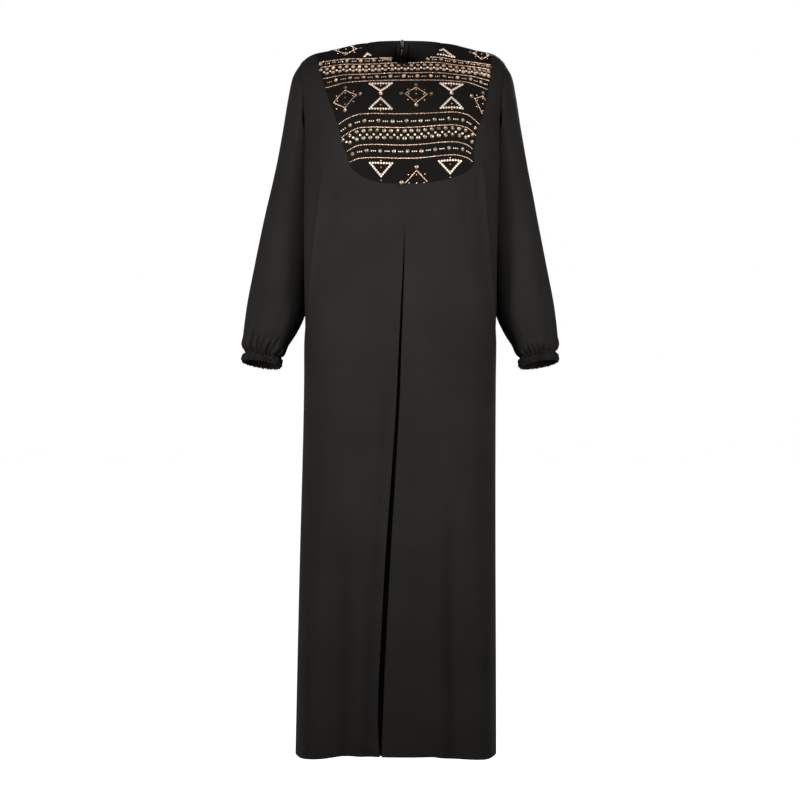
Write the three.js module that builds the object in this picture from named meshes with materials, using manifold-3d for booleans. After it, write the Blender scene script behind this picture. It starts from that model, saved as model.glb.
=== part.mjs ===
// A full-length black dress coat (manteau) with a round neck, a bib yoke for sequin work, a front inverted
// pleat, set-in sleeves gathered into elastic cuffs and a concealed zip down the centre back. It keeps its
// worn, hollow form. Millimetres, +Z up. The front faces -Y and +X is the wearer's left. The origin is the
// middle of the neck at the height of the side neck points, in the upright plane of the shoulder and side
// seams.
import * as THREE from 'three';
import { mergeVertices } from 'three/addons/utils/BufferGeometryUtils.js';
import Module from 'manifold-3d';

const wasm = await Module();
wasm.setup();

// Driving sizes
const CLOTH = 1.2; // wall of the crepe
const GATHERED_CLOTH = 1.0; // wall where it is gathered
const SEAM = 0.36; // space left between two pieces at a seam
const HEM = -1448; // height of the hem
const NECK_HALF = 77; // half the neck opening, at the side neck points
const NECK_DROP = 46; // front neck below the side neck points
const NAPE_LIFT = 10.5; // back neck above them
const NAPE_STAND = 53; // how far the neck itself stands up behind, which the back leans against
const NECK_TOP = 0.5; // height of the side neck points
const SHOULDER_HALF = 207; // half the shoulder width at the sleeve seam
const SHOULDER_TIP = -40; // height of the shoulder tip
const ARMPIT = -222; // height of the underarm point
const ARMHOLE_FLAT = 0.82; // share of the shoulder's depth that is left at the sleeve seam
const SECTION_POWER = 3; // plan of the body: 2 is an ellipse, more is squarer
const RIDGE_ROUND = 6; // rounding of the shoulder line
const FRONT_FALL = 280; // height over which the front comes forward from the shoulder line
const BACK_FALL = 200; // the same for the back
const FALL_POWER = 2.8;
const TUCK_HALF = 72; // half depth of the hollow that the arm presses into the side
const TUCK_POWER = 0.8;
const BACK_HEM_DIP = 3; // how much lower the back's hem hangs at the side seams
const HEM_EASE = 440; // height over which the hem's line is taken up
const BACK_SHIFT = 4.4; // the zip's distance to the wearer's right of the body's middle line

// The body's sections from the hem up: half width at the side seam or sleeve seam, sideways lean of the
// middle, depths forward and back of the seam plane, and how far the hanging arm tucks the side in.
const BODY = [
  { z: -1460, half: 205.3, lean: -8.7, front: 168, back: 132, tuck: 0 },
  { z: -1060, half: 200.3, lean: -4.7, front: 164, back: 122, tuck: 0 },
  { z: -690, half: 195.9, lean: -0.6, front: 161, back: 113, tuck: 0 },
  { z: -620, half: 195.5, lean: -0.5, front: 161, back: 112, tuck: 3 },
  { z: -552, half: 199.5, lean: 0.5, front: 161, back: 110, tuck: 14 },
  { z: -450, half: 202.5, lean: 1, front: 161, back: 107, tuck: 28 },
  { z: -365, half: 203.5, lean: 1.5, front: 161, back: 104, tuck: 36 },
  { z: -300, half: 204, lean: 3, front: 160, back: 102, tuck: 37 },
  { z: -222, half: 205, lean: 4, front: 160, back: 100, tuck: 37 },
  { z: -131, half: 200, lean: 4.5, front: 160, back: 96, tuck: 0 },
  { z: -40, half: 207.5, lean: 5.5, front: 160, back: 95, tuck: 0 },
  { z: 0, half: 207, lean: 9, front: 160, back: 95, tuck: 0 },
  { z: 60, half: 207, lean: 10, front: 160, back: 95, tuck: 0 },
];

// How far the front's hem hangs below its level, from side to side.
const HEM_LINE = [
  { across: -205, dip: 3 },
  { across: -190, dip: 6.6 },
  { across: -166, dip: 5.9 },
  { across: -150, dip: 4.6 },
  { across: -131, dip: 1.6 },
  { across: -107, dip: -2.2 },
  { across: -90, dip: -3.6 },
  { across: -60, dip: -2.4 },
  { across: -26, dip: -1.5 },
  { across: 70, dip: -1.8 },
  { across: 93, dip: 1.1 },
  { across: 117, dip: 3.7 },
  { across: 145, dip: 5.8 },
  { across: 177, dip: 7.2 },
  { across: 190, dip: 5.5 },
  { across: 205, dip: 3 },
];

// The shoulder line from the neck outwards.
const SHOULDER = [
  { across: 0, z: NECK_TOP },
  { across: NECK_HALF, z: NECK_TOP },
  { across: 97, z: -1.5 },
  { across: 120, z: -7 },
  { across: 150, z: -14.5 },
  { across: 182, z: -21.5 },
  { across: 197, z: -29.7 },
  { across: SHOULDER_HALF, z: SHOULDER_TIP },
  { across: 240, z: -80 },
];

// The bib's U-shaped seam. Its bottom is a superellipse up to the turn, and its sides follow the rows: half
// width, and how far the middle of the bib stands to the wearer's left of the body's middle line.
const BIB_BOTTOM = -298;
const BIB_TURN = -243;
const BIB_ROUND = 2.25; // power of the rounded bottom
const BIB = [
  { z: -298, half: 127, shift: 5 },
  { z: -292, half: 127, shift: 9 },
  { z: -276, half: 127, shift: 18 },
  { z: -254, half: 127, shift: 20 },
  { z: -243, half: 127, shift: 18 },
  { z: -219, half: 132.5, shift: 14 },
  { z: -182, half: 141, shift: 13 },
  { z: -157, half: 150, shift: 13 },
  { z: -100, half: 166, shift: 9 },
  { z: -21.5, half: 181, shift: 2 },
];
const BIB_TOP = -21.5;

// The front pleat: sideways place of its mouth, opening between its two folded edges, and how far its
// underlay stands behind them.
const PLEAT = [
  { z: -1460, at: -33, mouth: 10.5, open: 13 },
  { z: -1331, at: -31, mouth: 11, open: 12 },
  { z: -1220, at: -27, mouth: 10.5, open: 11 },
  { z: -1052, at: -20, mouth: 10, open: 9 },
  { z: -900, at: -12, mouth: 7.6, open: 7 },
  { z: -731, at: -3.7, mouth: 5.4, open: 5 },
  { z: -622, at: -0.2, mouth: 4.4, open: 4 },
  { z: -542, at: 2.7, mouth: 3.8, open: 2.8 },
  { z: -450, at: 6.6, mouth: 2, open: 1.6 },
  { z: -396, at: 7.5, mouth: 0.6, open: 0.9 },
  { z: -298, at: 5, mouth: 0.6, open: 0.9 },
];
const PLEAT_HALF = 68; // half width of the underlay
const FOLD_RADIUS = 1.6; // outside radius of a folded edge

// Soft folds. Each runs from its top to its bottom, with a width and a height above the cloth, minus for a
// trough, and fades over its own ends.
const FRONT_FOLDS = [
  // over the bib
  { top: [-136, -30], bottom: [-128, -160], width: 15, height: 3.2, fade: 40 },
  { top: [-98, -30], bottom: [-96, -150], width: 17, height: -3.0, fade: 40 },
  { top: [102, -30], bottom: [98, -150], width: 17, height: -3.0, fade: 40 },
  { top: [140, -30], bottom: [132, -160], width: 15, height: 3.2, fade: 40 },
  // fullness over the bust, running down and in
  { top: [-92, -190], bottom: [-64, -760], width: 44, height: 7, fade: 140 },
  { top: [90, -190], bottom: [60, -760], width: 44, height: 7, fade: 140 },
  // creases from the bust to the sides
  { top: [-154, -240], bottom: [-191, -580], width: 9, height: 3.4, fade: 60 },
  { top: [160, -240], bottom: [193, -580], width: 9, height: 3.4, fade: 60 },
  // flutes over the hem
  { top: [-176, -980], bottom: [-178, -1500], width: 15, height: 4, fade: 240 },
  { top: [-122, -900], bottom: [-124, -1500], width: 22, height: -10, fade: 280 },
  { top: [-76, -980], bottom: [-70, -1500], width: 18, height: 7, fade: 260 },
  { top: [24, -900], bottom: [30, -1500], width: 34, height: 6, fade: 280 },
  { top: [108, -860], bottom: [128, -1500], width: 24, height: -11, fade: 300 },
  { top: [176, -1000], bottom: [183, -1500], width: 14, height: 5, fade: 240 },
  // the left edge of the pleat rolls inwards
  { top: [-8, -560], bottom: [-54, -1500], width: 18, height: -6, fade: 300 },
];
const BACK_FOLDS = [
  { top: [-78, -120], bottom: [-92, -1100], width: 40, height: 7, fade: 160 },
  { top: [82, -120], bottom: [86, -1050], width: 40, height: 6, fade: 160 },
  { top: [-150, -260], bottom: [-178, -640], width: 12, height: 3, fade: 80 },
  { top: [152, -280], bottom: [180, -600], width: 12, height: 3, fade: 80 },
  { top: [-132, -860], bottom: [-128, -1500], width: 26, height: -8, fade: 280 },
  { top: [-48, -940], bottom: [-44, -1500], width: 22, height: -6, fade: 260 },
  { top: [58, -880], bottom: [62, -1500], width: 24, height: -7, fade: 280 },
  { top: [112, -980], bottom: [116, -1500], width: 22, height: 6, fade: 240 },
  { top: [156, -900], bottom: [152, -1500], width: 20, height: -5, fade: 260 },
];

// The sleeve's rings from the sleeve seam to the wrist: its outermost and innermost points, half depth,
// place of its middle forward or back, and how much the ring leans its front edge up.
const SLEEVE = [
  { outX: 207, outZ: -40, inX: 168, inZ: -222, depth: 75, y: 0, lift: 0 },
  { outX: 224.5, outZ: -70, inX: 169.8, inZ: -228, depth: 76, y: 0, lift: 0 },
  { outX: 234, outZ: -115, inX: 170.6, inZ: -240, depth: 73, y: 1, lift: 0 },
  { outX: 244, outZ: -177, inX: 171.4, inZ: -262, depth: 69, y: 3, lift: 0 },
  { outX: 257, outZ: -250, inX: 172.4, inZ: -300, depth: 65, y: 4, lift: 0 },
  { outX: 276, outZ: -340, inX: 175, inZ: -368, depth: 62, y: 3, lift: 0 },
  { outX: 297, outZ: -445, inX: 182, inZ: -458, depth: 61, y: 0, lift: 0.02 },
  { outX: 315, outZ: -540, inX: 193, inZ: -548, depth: 58, y: -4, lift: 0.08 },
  { outX: 321, outZ: -588, inX: 211, inZ: -592, depth: 52, y: -7, lift: 0.13 },
  { outX: 323, outZ: -611, inX: 227, inZ: -617, depth: 44, y: -9, lift: 0.17 },
  { outX: 320, outZ: -625, inX: 239, inZ: -635, depth: 36, y: -10, lift: 0.2 },
  { outX: 318, outZ: -633, inX: 244, inZ: -645, depth: 32, y: -10, lift: 0.22 },
];
const SLEEVE_SIDES = 24; // points round the plain part, a multiple of 4
const ROOT_RINGS = 4.5; // rings over which the sleeve head takes up the armhole's shape
const GATHERS = 32; // gathers round each wrist
const POINTS_PER_GATHER = 3;
const GATHER_START = 9; // the ring where the gathers begin
const GATHER_DEPTH = [0.5, 1.7, 2.4]; // their depth at each ring from there

// The elastic casing at the wrist, from its top edge down: how far along, how much fuller than the seam, and
// the depth of its ruching.
const CUFF = [
  { drop: 0, full: 0.4, ruche: 1.5 },
  { drop: 6, full: 3.6, ruche: 2.1 },
  { drop: 14, full: 4.0, ruche: 2.1 },
  { drop: 20, full: 1.2, ruche: 1.5 },
];
const CUFF_AXIS = [0.16, -0.14, -1]; // the way the hand leaves, on the wearer's left

// Concealed zip and neck label
const ZIP_TAPE = { from: 1.1, to: 12, inside: 0.6, wall: 0.7 };
const ZIP_COIL = { half: 2.9, inside: 1.7, wall: 1.4 };
const ZIP_NOTCH = 3.4; // how far the back edges part at the top, for the slider
const ZIP_NOTCH_HEIGHT = 9;
const ZIP_HEIGHTS = [-552, -480, -410, -350, -298, -246, -195, -144, -92, -58, -41, -24, -14, -7, 0, 6];
const ZIP_SLIDER = { at: 7, from: -14, parting: 7, half: 3.7, top: 9, foot: -7.5, thick: 2.4 };
const BRIDGE = {
  plateHalf: 2.4, // the plate outside the cloth
  plateTop: 5,
  plateFoot: -4,
  plate: 1.1,
  neckWide: 1.5, // the neck through the slit
  neckTall: 3.4,
  wide: 1.6, // the arch that carries the pull tab
  bar: 0.8,
  eye: 2.4,
  pivotOut: 3.2,
  pivotUp: 2,
};
const PULL_TAB = { halfTop: 2.5, halfFoot: 3, length: 19, bar: 1.1, window: 2.6, slope: 31 };
const LABEL = { left: -50, right: -20, top: -18.5, bottom: -42, tilt: 0.09, inside: 1, wall: 0.6 };

const BLACK_CREPE = new THREE.MeshStandardMaterial({ color: 0x232221, roughness: 0.62, metalness: 0 });
const BIB_CLOTH = new THREE.MeshStandardMaterial({ color: 0x1a1817, roughness: 0.78, metalness: 0 });
const LABEL_SATIN = new THREE.MeshStandardMaterial({ color: 0xa8946a, roughness: 0.45, metalness: 0 });
const ZIP_NYLON = new THREE.MeshStandardMaterial({ color: 0x1c1b1b, roughness: 0.55, metalness: 0 });
const ZIP_METAL = new THREE.MeshStandardMaterial({ color: 0x3a3838, roughness: 0.35, metalness: 0.8 });

const FRONT = -1;
const BACK = 1;
const lerp = (a, b, t) => a + (b - a) * t;
const clamp01 = (t) => Math.min(Math.max(t, 0), 1);
const smooth = (t) => clamp01(t) ** 2 * (3 - 2 * clamp01(t));
const radians = (degrees) => (degrees * Math.PI) / 180;

// Value of a table's column at a place along its key column, on a monotone cubic through its rows.
function along(table, key, at, column) {
  const rows = table[0][key] < table[table.length - 1][key] ? table : [...table].reverse();
  const x = rows.map((row) => row[key]);
  const y = rows.map((row) => row[column]);
  const last = rows.length - 1;
  if (at <= x[0]) return y[0];
  if (at >= x[last]) return y[last];
  const slope = (i) => (y[i + 1] - y[i]) / (x[i + 1] - x[i]);
  const tangent = (i) => {
    if (i === 0) return slope(0);
    if (i === last) return slope(last - 1);
    const before = slope(i - 1);
    const after = slope(i);
    return before * after <= 0 ? 0 : (2 * before * after) / (before + after);
  };
  let i = 0;
  while (at > x[i + 1]) i += 1;
  const width = x[i + 1] - x[i];
  const t = (at - x[i]) / width;
  const rise = tangent(i) * width;
  const fall = tangent(i + 1) * width;
  return (
    (2 * t ** 3 - 3 * t ** 2 + 1) * y[i] +
    (t ** 3 - 2 * t ** 2 + t) * rise +
    (3 * t ** 2 - 2 * t ** 3) * y[i + 1] +
    (t ** 3 - t ** 2) * fall
  );
}

// --- The draped body ---

const lean = (z) => along(BODY, 'z', z, 'lean');
const seamHalf = (z) => along(BODY, 'z', z, 'half');

// Share of the depth left at the sleeve seam: none at the underarm point.
function armholeShare(z) {
  return ARMHOLE_FLAT * Math.sqrt(clamp01((z - ARMPIT) / (SHOULDER_TIP - ARMPIT)));
}

const besideOf = (share) => (1 - share ** SECTION_POWER) ** (1 / SECTION_POWER);

// Half width of the whole section, which runs on past the sleeve seam above the underarm point.
const bodyHalf = (z) => seamHalf(z) / besideOf(armholeShare(z));

// Height of the line that the front or back falls from.
function ridgeHeight(face, across) {
  const side = Math.abs(across);
  const line = along(SHOULDER, 'across', side, 'z');
  if (face === FRONT || side > NECK_HALF) return line;
  return line + NAPE_STAND * (1 - (side / NECK_HALF) ** 2) ** 2;
}

// Share of the full depth reached at a drop below the shoulder line.
function fall(face, drop) {
  const rounded = Math.sqrt(drop * (drop + 2 * RIDGE_ROUND));
  const share = clamp01(rounded / (face === FRONT ? FRONT_FALL : BACK_FALL));
  return 1 - (1 - share) ** FALL_POWER;
}

function foldHeight(face, across, z) {
  let height = 0;
  for (const fold of face === FRONT ? FRONT_FOLDS : BACK_FOLDS) {
    const [topAcross, topZ] = fold.top;
    const [bottomAcross, bottomZ] = fold.bottom;
    const place = (topZ - z) / (topZ - bottomZ);
    const middle = lerp(topAcross, bottomAcross, clamp01(place));
    const fading = smooth((topZ - z) / fold.fade) * smooth((z - bottomZ) / fold.fade);
    const hemFlute = bottomZ < HEM ? smooth((topZ - z) / fold.fade) : fading;
    height += fold.height * hemFlute * Math.exp(-(((across - middle) / fold.width) ** 2));
  }
  return height;
}

// How far the hem's line hangs below its level at a place across, taken up towards the knee.
function hemDip(face, across, z) {
  if (z > HEM + HEM_EASE) return 0;
  const share = Math.abs(across) / seamHalf(z);
  const dip = face === FRONT ? along(HEM_LINE, 'across', across, 'dip') : BACK_HEM_DIP * share ** 4;
  return dip * smooth((HEM + HEM_EASE - z) / HEM_EASE);
}

// A point of the cloth's outer face. across is measured from the body's middle line before the side is tucked
// in. The plan is a superellipse, and the folds stand out along its normal.
function bodyPoint(face, across, z) {
  const half = bodyHalf(z);
  const share = Math.min(Math.abs(across) / half, 1);
  const beside = besideOf(share);
  const full = along(BODY, 'z', z, face === FRONT ? 'front' : 'back');
  const reached = fall(face, Math.max(ridgeHeight(face, across) - z, 0));
  const sideways = (Math.sign(across) * share ** (SECTION_POWER - 1)) / half;
  const forwards = beside ** (SECTION_POWER - 1) / full;
  const normal = Math.hypot(sideways, forwards) || 1;
  const fold = foldHeight(face, across, z) * smooth(reached * 4);
  const out = full * reached * beside + (fold * forwards) / normal;
  const tucked = along(BODY, 'z', z, 'tuck') * Math.max(1 - (out / TUCK_HALF) ** 2, 0) ** TUCK_POWER;
  const shift = face === BACK ? BACK_SHIFT * Math.max(1 - (across / NECK_HALF) ** 2, 0) ** 2 : 0;
  const x = lean(z) + across + (fold * sideways) / normal - Math.sign(across) * tucked - shift;
  return new THREE.Vector3(x, face * (out + SEAM / 2), z - hemDip(face, across, z));
}

// Angle in the plan at which the section is this far across, 90 degrees at the side seam.
function planAngle(across, z) {
  const share = Math.min(Math.abs(across) / bodyHalf(z), 1);
  return Math.asin(share ** (SECTION_POWER / 2));
}

const acrossAt = (angle, z) => bodyHalf(z) * Math.sin(angle) ** (2 / SECTION_POWER);

// --- Sheets of cloth ---

// A sheet is the outer face of a piece, as points and triangles. thicken() gives it its wall.
class Sheet {
  constructor() {
    this.points = [];
    this.faces = [];
    this.centreEdge = [];
  }

  row(points) {
    return points.map((point) => this.points.push(point) - 1);
  }

  // Joins two rows, of which the upper has the same number of steps or a whole number of times as many.
  join(lower, upper, closed = false) {
    const steps = closed ? lower.length : lower.length - 1;
    const ratio = (closed ? upper.length : upper.length - 1) / steps;
    const half = Math.ceil(ratio / 2);
    for (let i = 0; i < steps; i += 1) {
      const left = lower[i];
      const right = lower[(i + 1) % lower.length];
      const above = (k) => upper[(i * ratio + k) % upper.length];
      for (let k = 0; k < ratio; k += 1) this.faces.push([k < half ? left : right, above(k + 1), above(k)]);
      this.faces.push([left, right, above(half)]);
    }
  }

  joinAll(rows, closed = false) {
    for (let i = 0; i + 1 < rows.length; i += 1) this.join(rows[i], rows[i + 1], closed);
  }

  turnOver() {
    this.faces = this.faces.map(([a, b, c]) => [a, c, b]);
    return this;
  }

  // Normals at the points. A wall keeps square to a seam, so they have no part across the seam.
  normals() {
    const normals = this.points.map(() => new THREE.Vector3());
    const ab = new THREE.Vector3();
    const ac = new THREE.Vector3();
    for (const [a, b, c] of this.faces) {
      ab.subVectors(this.points[b], this.points[a]);
      ac.subVectors(this.points[c], this.points[a]);
      ab.cross(ac);
      for (const i of [a, b, c]) normals[i].add(ab);
    }
    this.points.forEach((point, i) => {
      if (Math.abs(point.y) <= SEAM / 2 + 1e-6) normals[i].y = 0;
    });
    for (const i of this.centreEdge) normals[i].x = 0;
    return normals.map((normal) => normal.normalize());
  }

  // The point of the sheet at a place across and a height, on whichever triangle is there.
  at(x, z) {
    for (const [a, b, c] of this.faces) {
      const [p, q, r] = [this.points[a], this.points[b], this.points[c]];
      const area = (q.x - p.x) * (r.z - p.z) - (r.x - p.x) * (q.z - p.z);
      const second = ((x - p.x) * (r.z - p.z) - (r.x - p.x) * (z - p.z)) / area;
      const third = ((q.x - p.x) * (z - p.z) - (x - p.x) * (q.z - p.z)) / area;
      if (second >= -1e-9 && third >= -1e-9 && second + third <= 1 + 1e-9) {
        return new THREE.Vector3(x, p.y + second * (q.y - p.y) + third * (r.y - p.y), z);
      }
    }
    throw new Error(`nothing at ${x.toFixed(1)} across, ${z.toFixed(1)} up`);
  }

  // The closed wall between the outer face, moved out by rise, and the face a wall's thickness inside it.
  thicken(wall, rise = 0) {
    const normals = this.normals();
    const outer = this.points.map((point, i) => point.clone().addScaledVector(normals[i], rise));
    const inner = this.points.map((point, i) => point.clone().addScaledVector(normals[i], rise - wall));
    const count = this.points.length;
    const triangles = [];
    const edges = new Map();
    for (const [a, b, c] of this.faces) {
      triangles.push(a, b, c, count + c, count + b, count + a);
      for (const [from, to] of [[a, b], [b, c], [c, a]]) {
        if (!edges.delete(`${to},${from}`)) edges.set(`${from},${to}`, [from, to]);
      }
    }
    for (const [from, to] of edges.values()) {
      triangles.push(to, from, count + from, to, count + from, count + to);
    }
    const geometry = new THREE.BufferGeometry();
    const positions = [...outer, ...inner].flatMap((point) => point.toArray());
    geometry.setAttribute('position', new THREE.Float32BufferAttribute(positions, 3));
    geometry.setIndex(triangles);
    geometry.computeVertexNormals();
    return geometry;
  }
}

function piece(name, geometry, material) {
  const mesh = new THREE.Mesh(geometry, material);
  mesh.name = name;
  return mesh;
}

// --- Front panel and bib ---

const PLAN_ANGLES = [0, 10, 20, 30, 40, 50, 58, 66, 73, 79, 84, 87.5, 90].map(radians); // middle to side seam
const LOW_HEIGHTS = [HEM, -1415, -1330, -1230, -1125, -1020, -910, -800, -690, -620, -552, -480, -410, -350];
const BIB_LOW_STEPS = 6;
const BIB_INWARD_STEPS = 8;
const ARMHOLE_STEPS = SLEEVE_SIDES / 2;

// Heights on the side seam and then up the sleeve seam, for the rows beside the bib.
const UPPER_HEIGHTS = [
  ...Array.from({ length: BIB_LOW_STEPS }, (_, i) => lerp(BIB_BOTTOM, ARMPIT, i / BIB_LOW_STEPS)),
  ...Array.from({ length: ARMHOLE_STEPS + 1 }, (_, i) => armholeHeight(1 - i / ARMHOLE_STEPS)),
];

// Height on the sleeve seam at a share of the way round from the shoulder tip to the underarm point.
function armholeHeight(share) {
  return (SHOULDER_TIP + ARMPIT) / 2 + ((SHOULDER_TIP - ARMPIT) / 2) * Math.cos(Math.PI * share);
}

// A point of the bib's seam, by step from the middle of its bottom to the shoulder. Steps below 0 are on the
// wearer's right.
function bibSeam(step) {
  const side = Math.sign(step);
  const up = Math.abs(step);
  if (up <= BIB_LOW_STEPS) {
    const angle = (Math.PI / 2) * (up / BIB_LOW_STEPS);
    const z = BIB_TURN - (BIB_TURN - BIB_BOTTOM) * Math.cos(angle) ** (2 / BIB_ROUND);
    const half = along(BIB, 'z', z, 'half') * Math.sin(angle) ** (2 / BIB_ROUND);
    return { across: side * half + along(BIB, 'z', z, 'shift'), z };
  }
  const z = lerp(BIB_TURN, BIB_TOP, (up - BIB_LOW_STEPS) / ARMHOLE_STEPS);
  return { across: side * along(BIB, 'z', z, 'half') + along(BIB, 'z', z, 'shift'), z };
}

const edgeAngle = (z) => (z > ARMPIT ? planAngle(seamHalf(z), z) : Math.PI / 2);

// Points of one side of the front at a low height, from the side seam to the folded edge of the pleat.
function frontLowRow(side, z) {
  const mouth = along(PLEAT, 'z', z, 'mouth');
  const edge = along(PLEAT, 'z', z, 'at') + side * (mouth / 2 + FOLD_RADIUS);
  const inner = side * edge >= 0 ? planAngle(edge, z) : -planAngle(edge, z);
  return [...PLAN_ANGLES].reverse().map((angle) => {
    const turned = lerp(inner, Math.PI / 2, angle / (Math.PI / 2));
    return bodyPoint(FRONT, side * Math.sign(turned || 1) * acrossAt(Math.abs(turned), z), z);
  });
}

// Points of the pleat behind one folded edge, from the nose of the fold to the underlay.
function pleatPoints(side, z) {
  const mouth = along(PLEAT, 'z', z, 'mouth');
  const open = along(PLEAT, 'z', z, 'open');
  const middle = along(PLEAT, 'z', z, 'at');
  const edge = middle + side * (mouth / 2 + FOLD_RADIUS);
  const deep = 2 * FOLD_RADIUS;
  const places = [
    { across: edge - side * FOLD_RADIUS, behind: FOLD_RADIUS },
    { across: edge, behind: deep },
    { across: (edge + middle + side * PLEAT_HALF) / 2, behind: deep },
    { across: middle + side * PLEAT_HALF, behind: deep },
    { across: middle + side * (PLEAT_HALF + FOLD_RADIUS / 2), behind: deep + open / 2 },
    { across: middle + side * PLEAT_HALF, behind: deep + open },
    { across: middle + side * (PLEAT_HALF / 2), behind: deep + open },
  ];
  return places.map(({ across, behind }) => {
    const point = bodyPoint(FRONT, across, z);
    point.y += behind;
    return point;
  });
}

// Points of one side of the front beside the bib, from the side or sleeve seam to the bib's seam.
function frontHighRow(side, step) {
  const seam = bibSeam(side * step);
  const seamAcross = side * seam.across;
  const outerZ = UPPER_HEIGHTS[step];
  const onShoulder = step === UPPER_HEIGHTS.length - 1;
  return [...PLAN_ANGLES].reverse().map((angle) => {
    const share = angle / (Math.PI / 2);
    if (onShoulder) {
      const across = lerp(seamAcross, SHOULDER_HALF, share);
      return bodyPoint(FRONT, side * across, ridgeHeight(FRONT, across));
    }
    const z = lerp(seam.z, outerZ, share);
    const turned = lerp(planAngle(seamAcross, seam.z), edgeAngle(outerZ), share);
    return bodyPoint(FRONT, side * acrossAt(turned, z), z);
  });
}

function frontPanel() {
  const sheet = new Sheet();
  const lowRow = (z) => {
    const left = frontLowRow(-1, z);
    const right = frontLowRow(1, z).reverse();
    const underlay = bodyPoint(FRONT, along(PLEAT, 'z', z, 'at'), z);
    underlay.y += 2 * FOLD_RADIUS + along(PLEAT, 'z', z, 'open');
    return sheet.row([...left, ...pleatPoints(-1, z), underlay, ...pleatPoints(1, z).reverse(), ...right]);
  };
  const rows = [...LOW_HEIGHTS, BIB_BOTTOM].map(lowRow);
  sheet.joinAll(rows);
  const top = rows[rows.length - 1];
  const columns = PLAN_ANGLES.length;
  const startOf = { '-1': top.slice(0, columns), 1: top.slice(-columns) };
  for (const side of [-1, 1]) {
    const high = UPPER_HEIGHTS.slice(1).map((_, i) => {
      const points = frontHighRow(side, i + 1);
      return sheet.row(side < 0 ? points : points.reverse());
    });
    sheet.joinAll([startOf[side], ...high]);
  }
  return sheet;
}

// A point of the front neck edge by its place round it, -1 and 1 at the side neck points and 0 in the middle.
function neckEdge(place) {
  const angle = (Math.PI / 2) * place;
  return { across: NECK_HALF * Math.sin(angle), z: NECK_TOP - NECK_DROP * Math.cos(angle) };
}

// Height of the back's top edge, round the nape and then along the shoulder.
function backTop(across) {
  if (across >= NECK_HALF) return ridgeHeight(BACK, across);
  return NECK_TOP + NAPE_LIFT * (1 - (across / NECK_HALF) ** 2);
}

// A point of the bib by step round its seam and share of the way in to the neck edge.
function bibPoint(step, share) {
  const lastStep = UPPER_HEIGHTS.length - 1;
  const seam = bibSeam(step);
  const next = bibSeam(Math.min(step + 0.05, lastStep));
  const before = bibSeam(Math.max(step - 0.05, -lastStep));
  const run = Math.hypot(next.across - before.across, next.z - before.z);
  const outer = {
    across: seam.across - (SEAM * (next.z - before.z)) / run,
    z: Math.min(seam.z + (SEAM * (next.across - before.across)) / run, BIB_TOP),
  };
  const neck = neckEdge(step / lastStep);
  const across = lerp(outer.across, neck.across, share);
  const chord = lerp(outer.z, neck.z, share);
  const straight = lerp(BIB_TOP, NECK_TOP, share);
  const bulge = (ridgeHeight(FRONT, across) - straight) * Math.abs(step / lastStep) ** 10;
  return bodyPoint(FRONT, across, Math.min(chord + bulge, ridgeHeight(FRONT, across)));
}

// The bib's rows run round its seam from shoulder to shoulder, each from the seam to the neck.
function bibPanel() {
  const sheet = new Sheet();
  const lastStep = UPPER_HEIGHTS.length - 1;
  const steps = Array.from({ length: 2 * lastStep + 1 }, (_, i) => i - lastStep);
  const shares = Array.from({ length: BIB_INWARD_STEPS + 1 }, (_, j) => j / BIB_INWARD_STEPS);
  sheet.joinAll(steps.map((step) => sheet.row(shares.map((share) => bibPoint(step, share)))));
  return sheet;
}

// --- Back panels ---

const TOP_ACROSS = [0, 22, 42, 60, NECK_HALF, 92, 110, 128, 146, 164, 180, 195, SHOULDER_HALF];

// Half the space between the back edges, wider at the top where the slider stands.
function backSlit(z) {
  return SEAM / 2 + ZIP_NOTCH * smooth((z - (NECK_TOP + NAPE_LIFT - ZIP_NOTCH_HEIGHT)) / ZIP_NOTCH_HEIGHT);
}

function backPanel(side) {
  const sheet = new Sheet();
  const pointAt = (across, z) => bodyPoint(BACK, side * Math.max(across, backSlit(z)), z);
  const rows = LOW_HEIGHTS.map((z) => sheet.row(PLAN_ANGLES.map((angle) => pointAt(acrossAt(angle, z), z))));
  const lastStep = UPPER_HEIGHTS.length - 1;
  const topAngle = edgeAngle(SHOULDER_TIP);
  UPPER_HEIGHTS.forEach((outerZ, step) => {
    const up = step / lastStep;
    const outerUp = (outerZ - BIB_BOTTOM) / (SHOULDER_TIP - BIB_BOTTOM);
    rows.push(
      sheet.row(
        PLAN_ANGLES.map((angle, k) => {
          const column = angle / (Math.PI / 2);
          const above = TOP_ACROSS[k];
          const topZ = backTop(above);
          const z = lerp(BIB_BOTTOM, topZ, lerp(up, outerUp, column ** 2));
          if (step === lastStep) return pointAt(above, topZ);
          const topShare = planAngle(above, SHOULDER_TIP) / topAngle;
          const turned = edgeAngle(outerZ) * lerp(column, topShare, up ** 2);
          return pointAt(k === PLAN_ANGLES.length - 1 ? edgeAcross(outerZ) : acrossAt(turned, z), z);
        }),
      ),
    );
  });
  sheet.joinAll(rows);
  sheet.centreEdge = rows.map((row) => row[0]);
  return side > 0 ? sheet.turnOver() : sheet;
}

const edgeAcross = (z) => (z > ARMPIT ? seamHalf(z) : bodyHalf(z));

// --- Sleeves and cuffs ---

// A point of the sleeve seam at a share of the way round, from the shoulder tip down the front and up behind.
function armholePoint(share) {
  const face = share <= 0.5 ? FRONT : BACK;
  const z = armholeHeight(share <= 0.5 ? share * 2 : 2 - share * 2);
  return bodyPoint(face, seamHalf(z), z);
}

// A point of the sleeve as a plain tube: an ellipse across the line from outermost to innermost point.
function tubePoint(ring, share) {
  const at = (column) => along(SLEEVE.map((row, i) => ({ ...row, i })), 'i', ring, column);
  const angle = 2 * Math.PI * share;
  const out = (1 + Math.cos(angle)) / 2;
  const forward = Math.sin(angle) * at('depth');
  const z = lerp(at('inZ'), at('outZ'), out) + at('lift') * forward;
  return new THREE.Vector3(lerp(at('inX'), at('outX'), out), at('y') - forward, z);
}

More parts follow.
